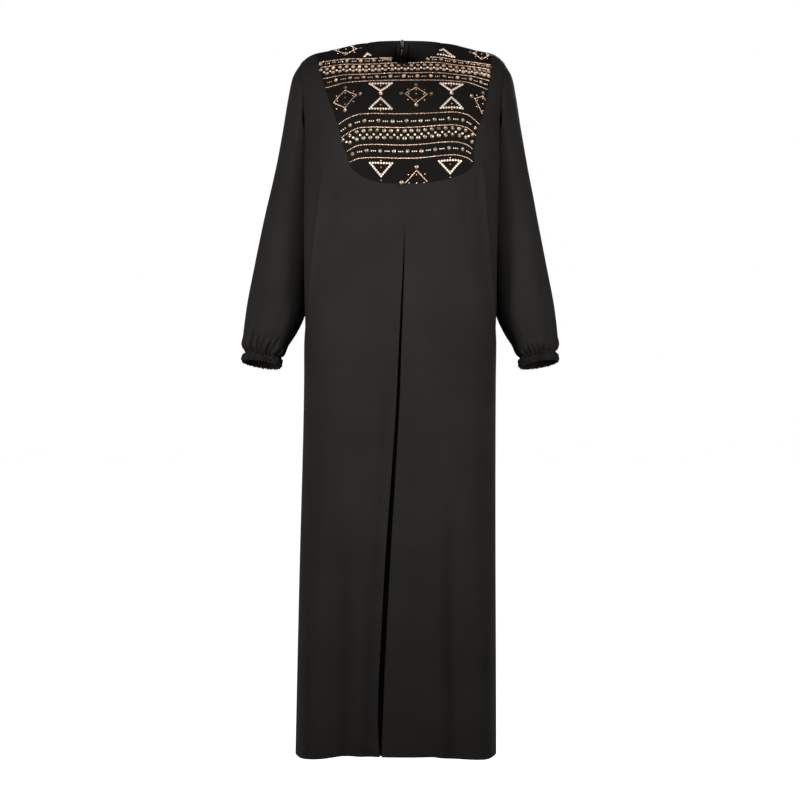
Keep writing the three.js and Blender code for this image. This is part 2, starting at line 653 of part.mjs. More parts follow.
// The same point once the sleeve head has taken up the armhole's shape and the middle's lean is added.
function sleevePoint(ring, share) {
  const point = tubePoint(ring, share);
  const hold = ring < ROOT_RINGS ? (1 - ring / ROOT_RINGS) ** 2 : 0;
  if (hold > 0) {
    const root = armholePoint(share);
    root.x -= lean(root.z);
    point.addScaledVector(root.sub(tubePoint(0, share)), hold);
  }
  return point;
}

// Turns a point that is worked out for the wearer's left into its own side, with the body's lean.
function onSide(side, point) {
  return new THREE.Vector3(side * point.x + lean(point.z), point.y, point.z);
}

const gatherWave = (share) => Math.cos(2 * Math.PI * GATHERS * share);

function sleeveSheet(side) {
  const sheet = new Sheet();
  const rings = SLEEVE.map((_, ring) => {
    const gathered = ring >= GATHER_START;
    const count = gathered ? GATHERS * POINTS_PER_GATHER : SLEEVE_SIDES;
    return sheet.row(
      Array.from({ length: count }, (_, i) => {
        const share = i / count;
        const point = sleevePoint(ring, share);
        if (ring === 0) {
          point.lerp(sleevePoint(1, share), SEAM / point.distanceTo(sleevePoint(1, share)));
          point.x += 2.5 * SEAM;
        }
        if (gathered) {
          const middle = sleevePoint(ring, 0).lerp(sleevePoint(ring, 0.5), 0.5);
          const outward = point.clone().sub(middle).normalize();
          point.addScaledVector(outward, GATHER_DEPTH[ring - GATHER_START] * gatherWave(share));
        }
        return onSide(side, point);
      }),
    );
  });
  sheet.joinAll(rings, true);
  return side > 0 ? sheet : sheet.turnOver();
}

function cuffSheet(side) {
  const sheet = new Sheet();
  const lastRing = SLEEVE.length - 1;
  const axis = new THREE.Vector3(...CUFF_AXIS).normalize();
  const count = GATHERS * POINTS_PER_GATHER;
  const rings = CUFF.map(({ drop, full, ruche }) =>
    sheet.row(
      Array.from({ length: count }, (_, i) => {
        const share = i / count;
        const point = sleevePoint(lastRing, share);
        const middle = sleevePoint(lastRing, 0).lerp(sleevePoint(lastRing, 0.5), 0.5);
        const outward = point.clone().sub(middle).normalize();
        point.addScaledVector(outward, full + ruche * gatherWave(share));
        point.addScaledVector(axis, drop + SEAM);
        return onSide(side, point);
      }),
    ),
  );
  sheet.joinAll(rings, true);
  return side > 0 ? sheet : sheet.turnOver();
}

// --- Zip and label ---

const backSheet = { '-1': backPanel(-1), 1: backPanel(1) };

// A strip against the inside of the back, through places across from the zip at each height. A tilt lifts it
// towards the wearer's left.
function backStrip(heights, placesAt, tilt = 0) {
  const sheet = new Sheet();
  const rows = heights.map((z) =>
    sheet.row(
      placesAt(z).map((across) => {
        const x = lean(z) - BACK_SHIFT + across;
        return backSheet[across < 0 ? -1 : 1].at(x, z + tilt * across);
      }),
    ),
  );
  sheet.joinAll(rows);
  return sheet.turnOver();
}

function zipTape(side) {
  const strip = backStrip(ZIP_HEIGHTS, (z) => {
    const beside = smooth((z - ZIP_SLIDER.from) / ZIP_SLIDER.parting);
    const inner = lerp(ZIP_TAPE.from, ZIP_SLIDER.half + 4 * SEAM, beside);
    return side > 0 ? [inner, ZIP_TAPE.to] : [-ZIP_TAPE.to, -inner];
  });
  return strip.thicken(ZIP_TAPE.wall, -CLOTH - ZIP_TAPE.inside);
}

function zipCoil() {
  const heights = ZIP_HEIGHTS.filter((z) => z <= ZIP_SLIDER.from);
  const strip = backStrip(heights, () => [-ZIP_COIL.half, -SEAM, SEAM, ZIP_COIL.half]);
  return strip.thicken(ZIP_COIL.wall, -CLOTH - ZIP_COIL.inside);
}

function neckLabel() {
  const heights = [LABEL.bottom, (LABEL.bottom + LABEL.top) / 2, LABEL.top];
  const places = [0, 1, 2, 3].map((i) => lerp(LABEL.left, LABEL.right, i / 3));
  const strip = backStrip(heights, () => places, LABEL.tilt);
  return strip.thicken(LABEL.wall, -CLOTH - LABEL.inside);
}

// The slope of the back at the top of the zip, which the slider follows.
const sliderAt = bodyPoint(BACK, 0, ZIP_SLIDER.at);
const slopeBelow = bodyPoint(BACK, 0, ZIP_SLIDER.at - 12);
const SLIDER_SLOPE = Math.atan2(slopeBelow.y - sliderAt.y, sliderAt.z - slopeBelow.z);

function toSolid(geometry) {
  const bare = geometry.clone().deleteAttribute('normal').deleteAttribute('uv');
  const merged = mergeVertices(bare.index ? bare.toNonIndexed() : bare, 1e-4);
  return new wasm.Manifold(
    new wasm.Mesh({
      numProp: 3,
      vertProperties: merged.attributes.position.array,
      triVerts: new Uint32Array(merged.index.array),
    }),
  );
}

function toGeometry(solid) {
  const { vertProperties, triVerts } = solid.getMesh();
  const geometry = new THREE.BufferGeometry();
  geometry.setAttribute('position', new THREE.BufferAttribute(vertProperties, 3));
  geometry.setIndex(new THREE.BufferAttribute(triVerts, 1));
  geometry.computeVertexNormals();
  return geometry;
}

// A plate that stands upright: its outline is drawn across and up, and its thickness runs outwards.
function plate(outline, from, thickness) {
  const settings = { depth: thickness, bevelEnabled: false, curveSegments: 6 };
  const geometry = new THREE.ExtrudeGeometry(outline, settings);
  return geometry.rotateX(Math.PI / 2).translate(0, from + thickness, 0);
}

// A rounded outline, narrower at its foot.
function dropOutline(halfTop, halfFoot, top, foot) {
  const outline = new THREE.Shape();
  outline.moveTo(-halfFoot, foot + halfFoot);
  outline.absarc(0, foot + halfFoot, halfFoot, Math.PI, 2 * Math.PI);
  outline.lineTo(halfTop, top - halfTop);
  outline.absarc(0, top - halfTop, halfTop, 0, Math.PI);
  outline.closePath();
  return outline;
}

// The slider in its own frame: the outer face of the cloth is the plane y = 0 and the cloth's edge runs up.
function zipSlider() {
  const { half, top, foot, thick } = ZIP_SLIDER;
  const behind = -CLOTH - 4 * SEAM;
  const inner = plate(dropOutline(half, half * 0.7, top, foot), behind - thick, thick);
  const outside = dropOutline(BRIDGE.plateHalf, BRIDGE.plateHalf, BRIDGE.plateTop, BRIDGE.plateFoot);
  const outer = plate(outside, SEAM, BRIDGE.plate);
  const through = SEAM + BRIDGE.plate / 2 - (behind - thick / 2);
  const neck = new THREE.BoxGeometry(BRIDGE.neckWide, through, BRIDGE.neckTall);
  neck.translate(0, behind - thick / 2 + through / 2, BRIDGE.pivotUp);
  const reach = BRIDGE.pivotOut + BRIDGE.eye / 2 + BRIDGE.bar;
  const archFoot = SEAM + BRIDGE.plate / 2;
  const tall = BRIDGE.eye + 2 * BRIDGE.bar;
  const arch = new THREE.BoxGeometry(BRIDGE.wide, reach - archFoot, tall);
  arch.translate(0, (reach + archFoot) / 2, BRIDGE.pivotUp);
  const eye = new THREE.BoxGeometry(2 * BRIDGE.wide, BRIDGE.eye, BRIDGE.eye);
  eye.translate(0, BRIDGE.pivotOut, BRIDGE.pivotUp);
  const body = toSolid(inner).add(toSolid(outer)).add(toSolid(neck)).add(toSolid(arch));
  return toGeometry(body.subtract(toSolid(eye)));
}

// The pull tab in its own frame: it hangs down from the origin, which is the middle of its crossbar.
function pullTab() {
  const outline = dropOutline(PULL_TAB.halfTop, PULL_TAB.halfFoot, PULL_TAB.bar / 2, -PULL_TAB.length);
  const window = new THREE.Path();
  const side = BRIDGE.wide / 2 + 2 * SEAM;
  window.moveTo(-side, -PULL_TAB.bar / 2);
  window.lineTo(-side, -PULL_TAB.bar / 2 - PULL_TAB.window);
  window.lineTo(side, -PULL_TAB.bar / 2 - PULL_TAB.window);
  window.lineTo(side, -PULL_TAB.bar / 2);
  window.closePath();
  outline.holes.push(window);
  return plate(outline, -PULL_TAB.bar / 2, PULL_TAB.bar);
}

const slider = piece('zip_slider', zipSlider(), ZIP_METAL);
slider.position.copy(sliderAt);
slider.rotation.x = SLIDER_SLOPE;
slider.updateMatrix();

const tab = piece('zip_pull_tab', pullTab(), ZIP_METAL);
tab.position.set(0, BRIDGE.pivotOut, BRIDGE.pivotUp).applyMatrix4(slider.matrix);
tab.rotation.x = radians(PULL_TAB.slope);

const dress = new THREE.Group();
dress.add(
  piece('front', frontPanel().thicken(CLOTH), BLACK_CREPE),
  piece('bib', bibPanel().thicken(CLOTH), BIB_CLOTH),
  piece('back_left', backSheet[1].thicken(CLOTH), BLACK_CREPE),
  piece('back_right', backSheet[-1].thicken(CLOTH), BLACK_CREPE),
  piece('sleeve_left', sleeveSheet(1).thicken(GATHERED_CLOTH), BLACK_CREPE),
  piece('sleeve_right', sleeveSheet(-1).thicken(GATHERED_CLOTH), BLACK_CREPE),
  piece('cuff_left', cuffSheet(1).thicken(GATHERED_CLOTH), BLACK_CREPE),
  piece('cuff_right', cuffSheet(-1).thicken(GATHERED_CLOTH), BLACK_CREPE),
  piece('zip_tape_left', zipTape(1), ZIP_NYLON),
  piece('zip_tape_right', zipTape(-1), ZIP_NYLON),
  piece('zip_coil', zipCoil(), ZIP_NYLON),
  slider,
  tab,
  piece('neck_label', neckLabel(), LABEL_SATIN),
);

export default dress;
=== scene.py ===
"""Black dress coat, worn and hollow, with a sequinned bib, a front pleat, gathered cuffs and a zip down the back."""
import math

import bpy
import numpy as np
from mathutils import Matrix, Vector


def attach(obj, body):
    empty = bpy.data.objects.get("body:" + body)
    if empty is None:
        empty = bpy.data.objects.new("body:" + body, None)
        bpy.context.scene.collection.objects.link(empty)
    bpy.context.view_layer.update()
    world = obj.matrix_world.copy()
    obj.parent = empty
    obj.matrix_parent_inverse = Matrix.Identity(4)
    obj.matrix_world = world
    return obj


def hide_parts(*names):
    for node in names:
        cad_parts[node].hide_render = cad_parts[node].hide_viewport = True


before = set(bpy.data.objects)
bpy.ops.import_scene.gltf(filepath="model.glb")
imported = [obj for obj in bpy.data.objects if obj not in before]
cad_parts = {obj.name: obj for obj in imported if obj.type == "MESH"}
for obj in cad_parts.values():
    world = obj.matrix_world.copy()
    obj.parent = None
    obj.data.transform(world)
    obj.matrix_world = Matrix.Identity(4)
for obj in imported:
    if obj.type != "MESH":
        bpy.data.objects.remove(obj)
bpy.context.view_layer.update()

# ---- Camera: level with the middle of the coat, straight in front ----
CAMERA_DISTANCE = 7.0
VIEW_HEIGHT = -0.731  # the middle of the picture
VIEW_WIDTH = 1.64  # what the picture takes in at the seam plane
SENSOR = 36.0

camera_data = bpy.data.cameras.new("camera")
camera_data.sensor_width = SENSOR
camera_data.lens = SENSOR * CAMERA_DISTANCE / VIEW_WIDTH
camera_data.clip_end = 60
camera = bpy.data.objects.new("camera", camera_data)
camera.location = (0, -CAMERA_DISTANCE, VIEW_HEIGHT)
camera.rotation_euler = (math.pi / 2, 0, 0)
bpy.context.scene.collection.objects.link(camera)
bpy.context.scene.camera = camera

# ---- Sizes, in metres. The front faces -Y, and +X is the wearer's left. ----
CLOTH = 0.0012  # thickness
GATHERED_CLOTH = 0.001
SEAM = 0.00036
HEM = -1.448
NECK_HALF = 0.077
NECK_DROP = 0.046
NAPE_LIFT = 0.0105
NAPE_STAND = 0.053  # rise at the nape of the line that the back falls from
NECK_TOP = 0.0005
SHOULDER_HALF = 0.207
SHOULDER_TIP = -0.040
ARMPIT = -0.222
ARMHOLE_FLAT = 0.82  # share of the depth left at the sleeve seam, at the shoulder tip
SECTION_POWER = 3  # of the plan's superellipse
RIDGE_ROUND = 0.006
FRONT_FALL = 0.280
BACK_FALL = 0.200
FALL_POWER = 2.8
TUCK_HALF = 0.072
TUCK_POWER = 0.8
BACK_HEM_DIP = 0.003
HEM_EASE = 0.440
BACK_SHIFT = 0.0044
BIB_BOTTOM = -0.298
BIB_TURN = -0.243
BIB_TOP = -0.0215
BIB_ROUND = 2.25  # power of the bib's round bottom
BIB_LOW_STEPS = 6
ARMHOLE_STEPS = 12
LAST_STEP = BIB_LOW_STEPS + ARMHOLE_STEPS
PLEAT_HALF = 0.068
FOLD_RADIUS = 0.0016
ROOT_RINGS = 4.5
SLEEVE_ROUND = 288
RUCHES = 52

FRONT = -1
BACK = 1
seeded = np.random.default_rng(41)


def lerp(a, b, t):
    """The value a share t of the way from a to b."""
    return a + (b - a) * t


def smooth(t):
    """An S curve from 0 to 1."""
    t = np.clip(t, 0, 1)
    return t * t * (3 - 2 * t)


def unit(vectors):
    """Vectors at a length of one."""
    return vectors / np.linalg.norm(vectors, axis=-1, keepdims=True)


class Table:
    """Rows of named columns, read between the rows on a monotone cubic along the first column."""

    def __init__(self, names, *rows):
        values = np.array(sorted(rows), float)
        self.key = values[:, 0]
        self.columns = {}
        for name, y in zip(names.split()[1:], values.T[1:]):
            slope = np.diff(y) / np.diff(self.key)
            before, after = slope[:-1], slope[1:]
            total = np.where(before * after > 0, before + after, 1)
            middle = np.where(before * after > 0, 2 * before * after / total, 0)
            self.columns[name] = (y, np.concatenate([slope[:1], middle, slope[-1:]]))

    def __call__(self, name, at):
        y, tangent = self.columns[name]
        at = np.clip(np.asarray(at, float), self.key[0], self.key[-1])
        i = np.clip(np.searchsorted(self.key, at) - 1, 0, len(self.key) - 2)
        width = self.key[i + 1] - self.key[i]
        t = (at - self.key[i]) / width
        return (
            (2 * t**3 - 3 * t**2 + 1) * y[i]
            + (t**3 - 2 * t**2 + t) * tangent[i] * width
            + (3 * t**2 - 2 * t**3) * y[i + 1]
            + (t**3 - t**2) * tangent[i + 1] * width
        )


BODY = Table(
    "z half lean front back tuck",
    (-1.46, 0.2053, -0.0087, 0.168, 0.132, 0),
    (-1.06, 0.2003, -0.0047, 0.164, 0.122, 0),
    (-0.69, 0.1963, 0, 0.161, 0.113, 0),
    (-0.62, 0.1985, 0.0005, 0.161, 0.112, 0.002),
    (-0.552, 0.2015, 0.001, 0.161, 0.11, 0.0125),
    (-0.45, 0.2025, 0.001, 0.161, 0.107, 0.028),
    (-0.365, 0.2035, 0.0015, 0.161, 0.104, 0.036),
    (-0.3, 0.204, 0.003, 0.16, 0.102, 0.037),
    (-0.222, 0.205, 0.004, 0.16, 0.1, 0.037),
    (-0.131, 0.2, 0.0045, 0.16, 0.096, 0),
    (-0.04, 0.2075, 0.0055, 0.16, 0.095, 0),
    (0, 0.207, 0.009, 0.16, 0.095, 0),
    (0.06, 0.207, 0.01, 0.16, 0.095, 0),
)

HEM_LINE = Table(
    "across dip",
    (-0.205, 0.003),
    (-0.19, 0.0066),
    (-0.166, 0.0059),
    (-0.15, 0.0046),
    (-0.131, 0.0016),
    (-0.107, -0.0022),
    (-0.09, -0.0036),
    (-0.06, -0.0024),
    (-0.026, -0.0015),
    (0.07, -0.0018),
    (0.093, 0.0011),
    (0.117, 0.0037),
    (0.145, 0.0058),
    (0.177, 0.0072),
    (0.19, 0.0055),
    (0.205, 0.003),
)

SHOULDER = Table(
    "across z",
    (0, NECK_TOP),
    (NECK_HALF, NECK_TOP),
    (0.097, -0.0015),
    (0.12, -0.007),
    (0.15, -0.0145),
    (0.182, -0.0215),
    (0.197, -0.0297),
    (SHOULDER_HALF, SHOULDER_TIP),
    (0.24, -0.08),
)

BIB = Table(
    "z half shift",
    (-0.298, 0.127, 0.005),
    (-0.292, 0.127, 0.009),
    (-0.276, 0.127, 0.018),
    (-0.254, 0.127, 0.02),
    (-0.243, 0.127, 0.018),
    (-0.219, 0.1325, 0.014),
    (-0.182, 0.141, 0.013),
    (-0.157, 0.15, 0.013),
    (-0.1, 0.166, 0.009),
    (-0.0215, 0.181, 0.002),
)

PLEAT = Table(
    "z at mouth open",
    (-1.46, -0.0292, 0.0028, 0.02),
    (-1.4, -0.0318, 0.0082, 0.026),
    (-1.331, -0.031, 0.0108, 0.026),
    (-1.22, -0.027, 0.0105, 0.024),
    (-1.052, -0.02, 0.01, 0.021),
    (-0.9, -0.012, 0.008, 0.018),
    (-0.731, -0.0037, 0.0062, 0.014),
    (-0.622, -0.0002, 0.005, 0.01),
    (-0.542, 0.0027, 0.004, 0.007),
    (-0.45, 0.0066, 0.0022, 0.004),
    (-0.4, 0.0075, 0.0004, 0.002),
    (-0.372, 0.0068, -0.0018, 0.0009),
    (-0.298, 0.005, -0.0021, 0.0009),
)

# Soft folds: top across and height, bottom across and height, width, height above the cloth (minus for a trough),
# and the length over which each end fades.
FRONT_FOLDS = (
    # over the bib
    (-0.136, -0.03, -0.128, -0.16, 0.015, 0.0032, 0.04),
    (-0.098, -0.03, -0.096, -0.15, 0.017, -0.003, 0.04),
    (0.102, -0.03, 0.098, -0.15, 0.017, -0.003, 0.04),
    (0.14, -0.03, 0.132, -0.16, 0.015, 0.0032, 0.04),
    # fullness over the bust, running down and in
    (-0.092, -0.19, -0.064, -0.76, 0.044, 0.007, 0.14),
    (0.09, -0.19, 0.06, -0.76, 0.044, 0.007, 0.14),
    # creases from the bust to the sides
    (-0.154, -0.24, -0.191, -0.58, 0.009, 0.0034, 0.06),
    (0.16, -0.24, 0.193, -0.58, 0.009, 0.0034, 0.06),
    # flutes over the hem
    (-0.176, -0.98, -0.178, -1.5, 0.015, 0.004, 0.24),
    (-0.122, -0.9, -0.124, -1.5, 0.022, -0.01, 0.28),
    (-0.076, -0.98, -0.07, -1.5, 0.018, 0.007, 0.26),
    (0.024, -0.9, 0.03, -1.5, 0.034, 0.006, 0.28),
    (0.108, -0.86, 0.128, -1.5, 0.024, -0.011, 0.3),
    (0.176, -1, 0.183, -1.5, 0.014, 0.005, 0.24),
    # the left edge of the pleat rolls inwards
    (-0.008, -0.56, -0.054, -1.5, 0.016, -0.01, 0.24),
)
BACK_FOLDS = (
    (-0.078, -0.12, -0.092, -1.1, 0.04, 0.007, 0.16),
    (0.082, -0.12, 0.086, -1.05, 0.04, 0.006, 0.16),
    (-0.15, -0.26, -0.178, -0.64, 0.012, 0.003, 0.08),
    (0.152, -0.28, 0.18, -0.6, 0.012, 0.003, 0.08),
    (-0.132, -0.86, -0.128, -1.5, 0.026, -0.008, 0.28),
    (-0.048, -0.94, -0.044, -1.5, 0.022, -0.006, 0.26),
    (0.058, -0.88, 0.062, -1.5, 0.024, -0.007, 0.28),
    (0.112, -0.98, 0.116, -1.5, 0.022, 0.006, 0.24),
    (0.156, -0.9, 0.152, -1.5, 0.02, -0.005, 0.26),
)
# Finer creases, which only the cloth here has.
FRONT_CREASES = (
    # the sharp edges of the two long creases, and the hollows outside them
    (-0.1545, -0.25, -0.1905, -0.59, 0.0028, 0.0032, 0.05),
    (0.1605, -0.246, 0.1925, -0.592, 0.0028, 0.0032, 0.05),
    (-0.1625, -0.25, -0.1975, -0.6, 0.007, -0.0022, 0.07),
    (0.1685, -0.25, 0.199, -0.6, 0.007, -0.002, 0.07),
    # a pucker beside the pleat, just above the hem
    (-0.08, -1.418, -0.044, -1.44, 0.006, 0.0055, 0.005),
    (-0.086, -1.426, -0.05, -1.445, 0.006, -0.0045, 0.005),
    # the flutes over the hem run deeper at their lines
    (-0.12, -0.94, -0.124, -1.5, 0.022, -0.0065, 0.28),
    (0.11, -0.9, 0.128, -1.5, 0.024, -0.007, 0.3),
    (-0.162, -1, -0.166, -1.5, 0.016, 0.004, 0.26),
    (0.16, -1, 0.167, -1.5, 0.016, 0.004, 0.26),
    # short drag lines below the bib's corners
    (-0.12, -0.276, -0.124, -0.4, 0.0055, 0.0011, 0.05),
    (-0.134, -0.262, -0.15, -0.43, 0.006, -0.001, 0.06),
    (0.112, -0.284, 0.11, -0.392, 0.005, 0.0011, 0.045),
    (0.128, -0.276, 0.132, -0.42, 0.006, -0.001, 0.06),
    (0.142, -0.258, 0.152, -0.36, 0.0045, 0.0009, 0.045),
    # beside the sleeve seams
    (-0.178, -0.09, -0.176, -0.26, 0.0075, -0.0014, 0.06),
    (0.18, -0.08, 0.178, -0.24, 0.007, -0.0013, 0.06),
    (-0.188, -0.33, -0.186, -0.7, 0.008, -0.0012, 0.12),
    (0.186, -0.36, 0.184, -0.76, 0.008, -0.0012, 0.12),
    # faint long lines in the skirt
    (-0.04, -0.42, -0.072, -1.06, 0.01, -0.001, 0.2),
    (0.036, -0.47, 0.052, -1.12, 0.011, -0.001, 0.22),
    (0.092, -0.62, 0.096, -1.24, 0.009, 0.001, 0.22),
    (-0.118, -0.7, -0.122, -1.28, 0.009, 0.0009, 0.22),
    (-0.164, -0.82, -0.168, -1.4, 0.008, -0.0009, 0.2),
    (0.146, -0.78, 0.15, -1.38, 0.0085, -0.001, 0.22),
)
BACK_CREASES = (
    (-0.06, -0.04, -0.086, -0.24, 0.008, 0.0011, 0.06),
    (0.062, -0.04, 0.092, -0.22, 0.008, 0.0011, 0.06),
    (-0.168, -0.1, -0.172, -0.3, 0.0075, -0.0013, 0.07),
    (0.17, -0.1, 0.172, -0.32, 0.0075, -0.0013, 0.07),
    (-0.03, -0.32, -0.022, -0.62, 0.009, -0.0012, 0.11),
    (0.034, -0.3, 0.026, -0.56, 0.0085, -0.0011, 0.1),
    (-0.1, -0.48, -0.116, -1.05, 0.011, -0.0011, 0.2),
    (0.104, -0.54, 0.114, -1.16, 0.011, -0.0011, 0.22),
    (0.004, -0.7, 0.012, -1.3, 0.012, 0.001, 0.22),
    (-0.16, -0.7, -0.164, -1.3, 0.008, 0.001, 0.22),
)


# ---- The draped body as a formula ----
def armhole_share(z):
    """Share of the shoulder's depth left at the sleeve seam, none at the underarm point."""
    return ARMHOLE_FLAT * np.sqrt(np.clip((z - ARMPIT) / (SHOULDER_TIP - ARMPIT), 0, 1))


def beside_of(share):
    """How far a superellipse stands forward at a share of its half width."""
    return (1 - np.clip(share, 0, 1) ** SECTION_POWER) ** (1 / SECTION_POWER)


def body_half(z):
    """Half width of the whole section, which runs on past the sleeve seam above the underarm point."""
    return BODY("half", z) / beside_of(armhole_share(z))


def ridge_height(face, across):
    """Height of the line that the front or back falls from."""
    side = np.abs(across)
    line = SHOULDER("z", side)
    if face == FRONT:
        return line
    return line + NAPE_STAND * np.clip(1 - (side / NECK_HALF) ** 2, 0, 1) ** 2


def fall(face, drop):
    """Share of the full depth reached at a drop below the shoulder line."""
    rounded = np.sqrt(drop * (drop + 2 * RIDGE_ROUND))
    share = np.clip(rounded / (FRONT_FALL if face == FRONT else BACK_FALL), 0, 1)
    return 1 - (1 - share) ** FALL_POWER


def fold_height(folds, across, z):
    """Sum of the folds: each is a bell curve across its own line, and fades towards its ends."""
    height = np.zeros(np.broadcast(across, z).shape)
    for top_across, top_z, bottom_across, bottom_z, width, rise, fade in folds:
        place = (top_z - z) / (top_z - bottom_z)
        middle = lerp(top_across, bottom_across, np.clip(place, 0, 1))
        fading = smooth((top_z - z) / fade)
        if bottom_z > HEM:
            fading = fading * smooth((z - bottom_z) / fade)
        height += rise * fading * np.exp(-(((across - middle) / width) ** 2))
    return height


def hem_dip(face, across, z):
    """How far the hem's line hangs below its level, taken up towards the knee."""
    if face == FRONT:
        dip = HEM_LINE("dip", across)
    else:
        dip = BACK_HEM_DIP * (np.abs(across) / BODY("half", z)) ** 4
    return dip * smooth((HEM + HEM_EASE - z) / HEM_EASE)


def body_points(face, across, z, behind=0.0):
    """Points of the cloth's outer face.

    The plan is a superellipse whose depth grows with the drop below the shoulder line. Folds stand out along its
    normal, the sides are tucked in where the arms hang, and behind moves a point back into the body.
    """
    across, z = np.broadcast_arrays(np.asarray(across, float), np.asarray(z, float))
    half = body_half(z)
    share = np.clip(np.abs(across) / half, 0, 1)
    beside = beside_of(share)
    full = BODY("front" if face == FRONT else "back", z)
    reached = fall(face, np.maximum(ridge_height(face, across) - z, 0))
    sideways = np.sign(across) * share ** (SECTION_POWER - 1) / half
    forwards = beside ** (SECTION_POWER - 1) / full
    normal = np.hypot(sideways, forwards)
    folds = (FRONT_FOLDS + FRONT_CREASES) if face == FRONT else (BACK_FOLDS + BACK_CREASES)
    fold = fold_height(folds, across, z) * smooth(reached * 4)
    out = full * reached * beside + fold * forwards / normal
    tucked = BODY("tuck", z) * np.maximum(1 - (out / TUCK_HALF) ** 2, 0) ** TUCK_POWER
    x = BODY("lean", z) + across + fold * sideways / normal - np.sign(across) * tucked
    if face == BACK:
        x = x - BACK_SHIFT * np.maximum(1 - (across / NECK_HALF) ** 2, 0) ** 2
    return np.stack([x, face * (out + SEAM / 2 - behind), z - hem_dip(face, across, z)], -1)


def plan_angle(across, z):
    """Angle in the plan at which the section is this far across, a right angle at the side seam."""
    share = np.clip(np.abs(across) / body_half(z), 0, 1)
    return np.arcsin(share ** (SECTION_POWER / 2))


def across_at(angle, z):
    """The place across at an angle in the plan."""
    return body_half(z) * np.sin(angle) ** (2 / SECTION_POWER)


def edge_angle(z):
    """Angle of the side seam or sleeve seam."""
    return np.where(z > ARMPIT, plan_angle(BODY("half", z), z), math.pi / 2)


def armhole_height(share):
    """Height on the sleeve seam at a share of the way from the shoulder tip to the underarm point."""
    return (SHOULDER_TIP + ARMPIT) / 2 + (SHOULDER_TIP - ARMPIT) / 2 * np.cos(math.pi * share)


def upper_height(step):
    """Height on the side seam, and then up the sleeve seam, for the rows beside the bib."""
    low = lerp(BIB_BOTTOM, ARMPIT, step / BIB_LOW_STEPS)
    high = armhole_height(1 - (step - BIB_LOW_STEPS) / ARMHOLE_STEPS)
    return np.where(step <= BIB_LOW_STEPS, low, high)


def bib_seam(step):
    """Across and height of the bib's seam, by step from the middle of its bottom to a shoulder."""
    up = np.abs(step)
    angle = np.clip(up / BIB_LOW_STEPS, 0, 1) * math.pi / 2
    low = BIB_TURN - (BIB_TURN - BIB_BOTTOM) * np.cos(angle) ** (2 / BIB_ROUND)
    high = lerp(BIB_TURN, BIB_TOP, (up - BIB_LOW_STEPS) / ARMHOLE_STEPS)
    z = np.where(up <= BIB_LOW_STEPS, low, high)
    half = BIB("half", z) * np.sin(angle) ** (2 / BIB_ROUND)
    return np.sign(step) * half + BIB("shift", z), z


def neck_edge(place):
    """Across and height of the front neck edge, from -1 to 1 round it."""
    angle = math.pi / 2 * place
    return NECK_HALF * np.sin(angle), NECK_TOP - NECK_DROP * np.cos(angle)


def back_top(across):
    """Height of the back's top edge, round the nape and then along the shoulder."""
    nape = NECK_TOP + NAPE_LIFT * (1 - (across / NECK_HALF) ** 2)
    return np.where(across >= NECK_HALF, ridge_height(BACK, across), nape)


# ---- Meshes ----
def make_mesh(name, points, faces, material):
    """A smooth-shaded object from whole arrays of points and of triangles or quads."""
    mesh = bpy.data.meshes.new(name)
    points = np.asarray(points, float).reshape(-1, 3)
    faces = np.asarray(faces, np.int32)
    mesh.vertices.add(len(points))
    mesh.vertices.foreach_set("co", points.ravel())
    mesh.loops.add(faces.size)
    mesh.loops.foreach_set("vertex_index", faces.ravel())
    mesh.polygons.add(len(faces))
    mesh.polygons.foreach_set("loop_start", np.arange(0, faces.size, faces.shape[1], dtype=np.int32))
    mesh.polygons.foreach_set("use_smooth", np.ones(len(faces), bool))
    mesh.update(calc_edges=True)
    mesh.validate()
    mesh.materials.append(material)
    made = bpy.data.objects.new(name, mesh)
    bpy.context.scene.collection.objects.link(made)
    return made


def numbers_of(points, first=0):
    """The numbers of a grid of points."""
    rows, columns = points.shape[:2]
    return np.arange(rows * columns).reshape(rows, columns) + first


def grid_faces(index, closed=False):
    """Quads between the rows of an array of point numbers, and round it where closed."""
    if closed:
        index = np.concatenate([index, index[:, :1]], 1)
    quads = [index[:-1, :-1], index[:-1, 1:], index[1:, 1:], index[1:, :-1]]
    return np.stack([q.ravel() for q in quads], 1)


def place(piece, slot):
    """Puts a piece on the garment; its material slot is not used."""
    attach(piece, "garment")


def sew(name, points, faces, material, thickness, slot, node):
    """One cloth: a sheet with its thickness inwards from the face that is modelled, in place of its solid."""
    piece = make_mesh(name, points, faces, material)
    solidify = piece.modifiers.new("cloth", "SOLIDIFY")
    solidify.thickness = thickness
    solidify.offset = -1
    solidify.use_even_offset = False
    place(piece, slot)
    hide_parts(node)
    return piece


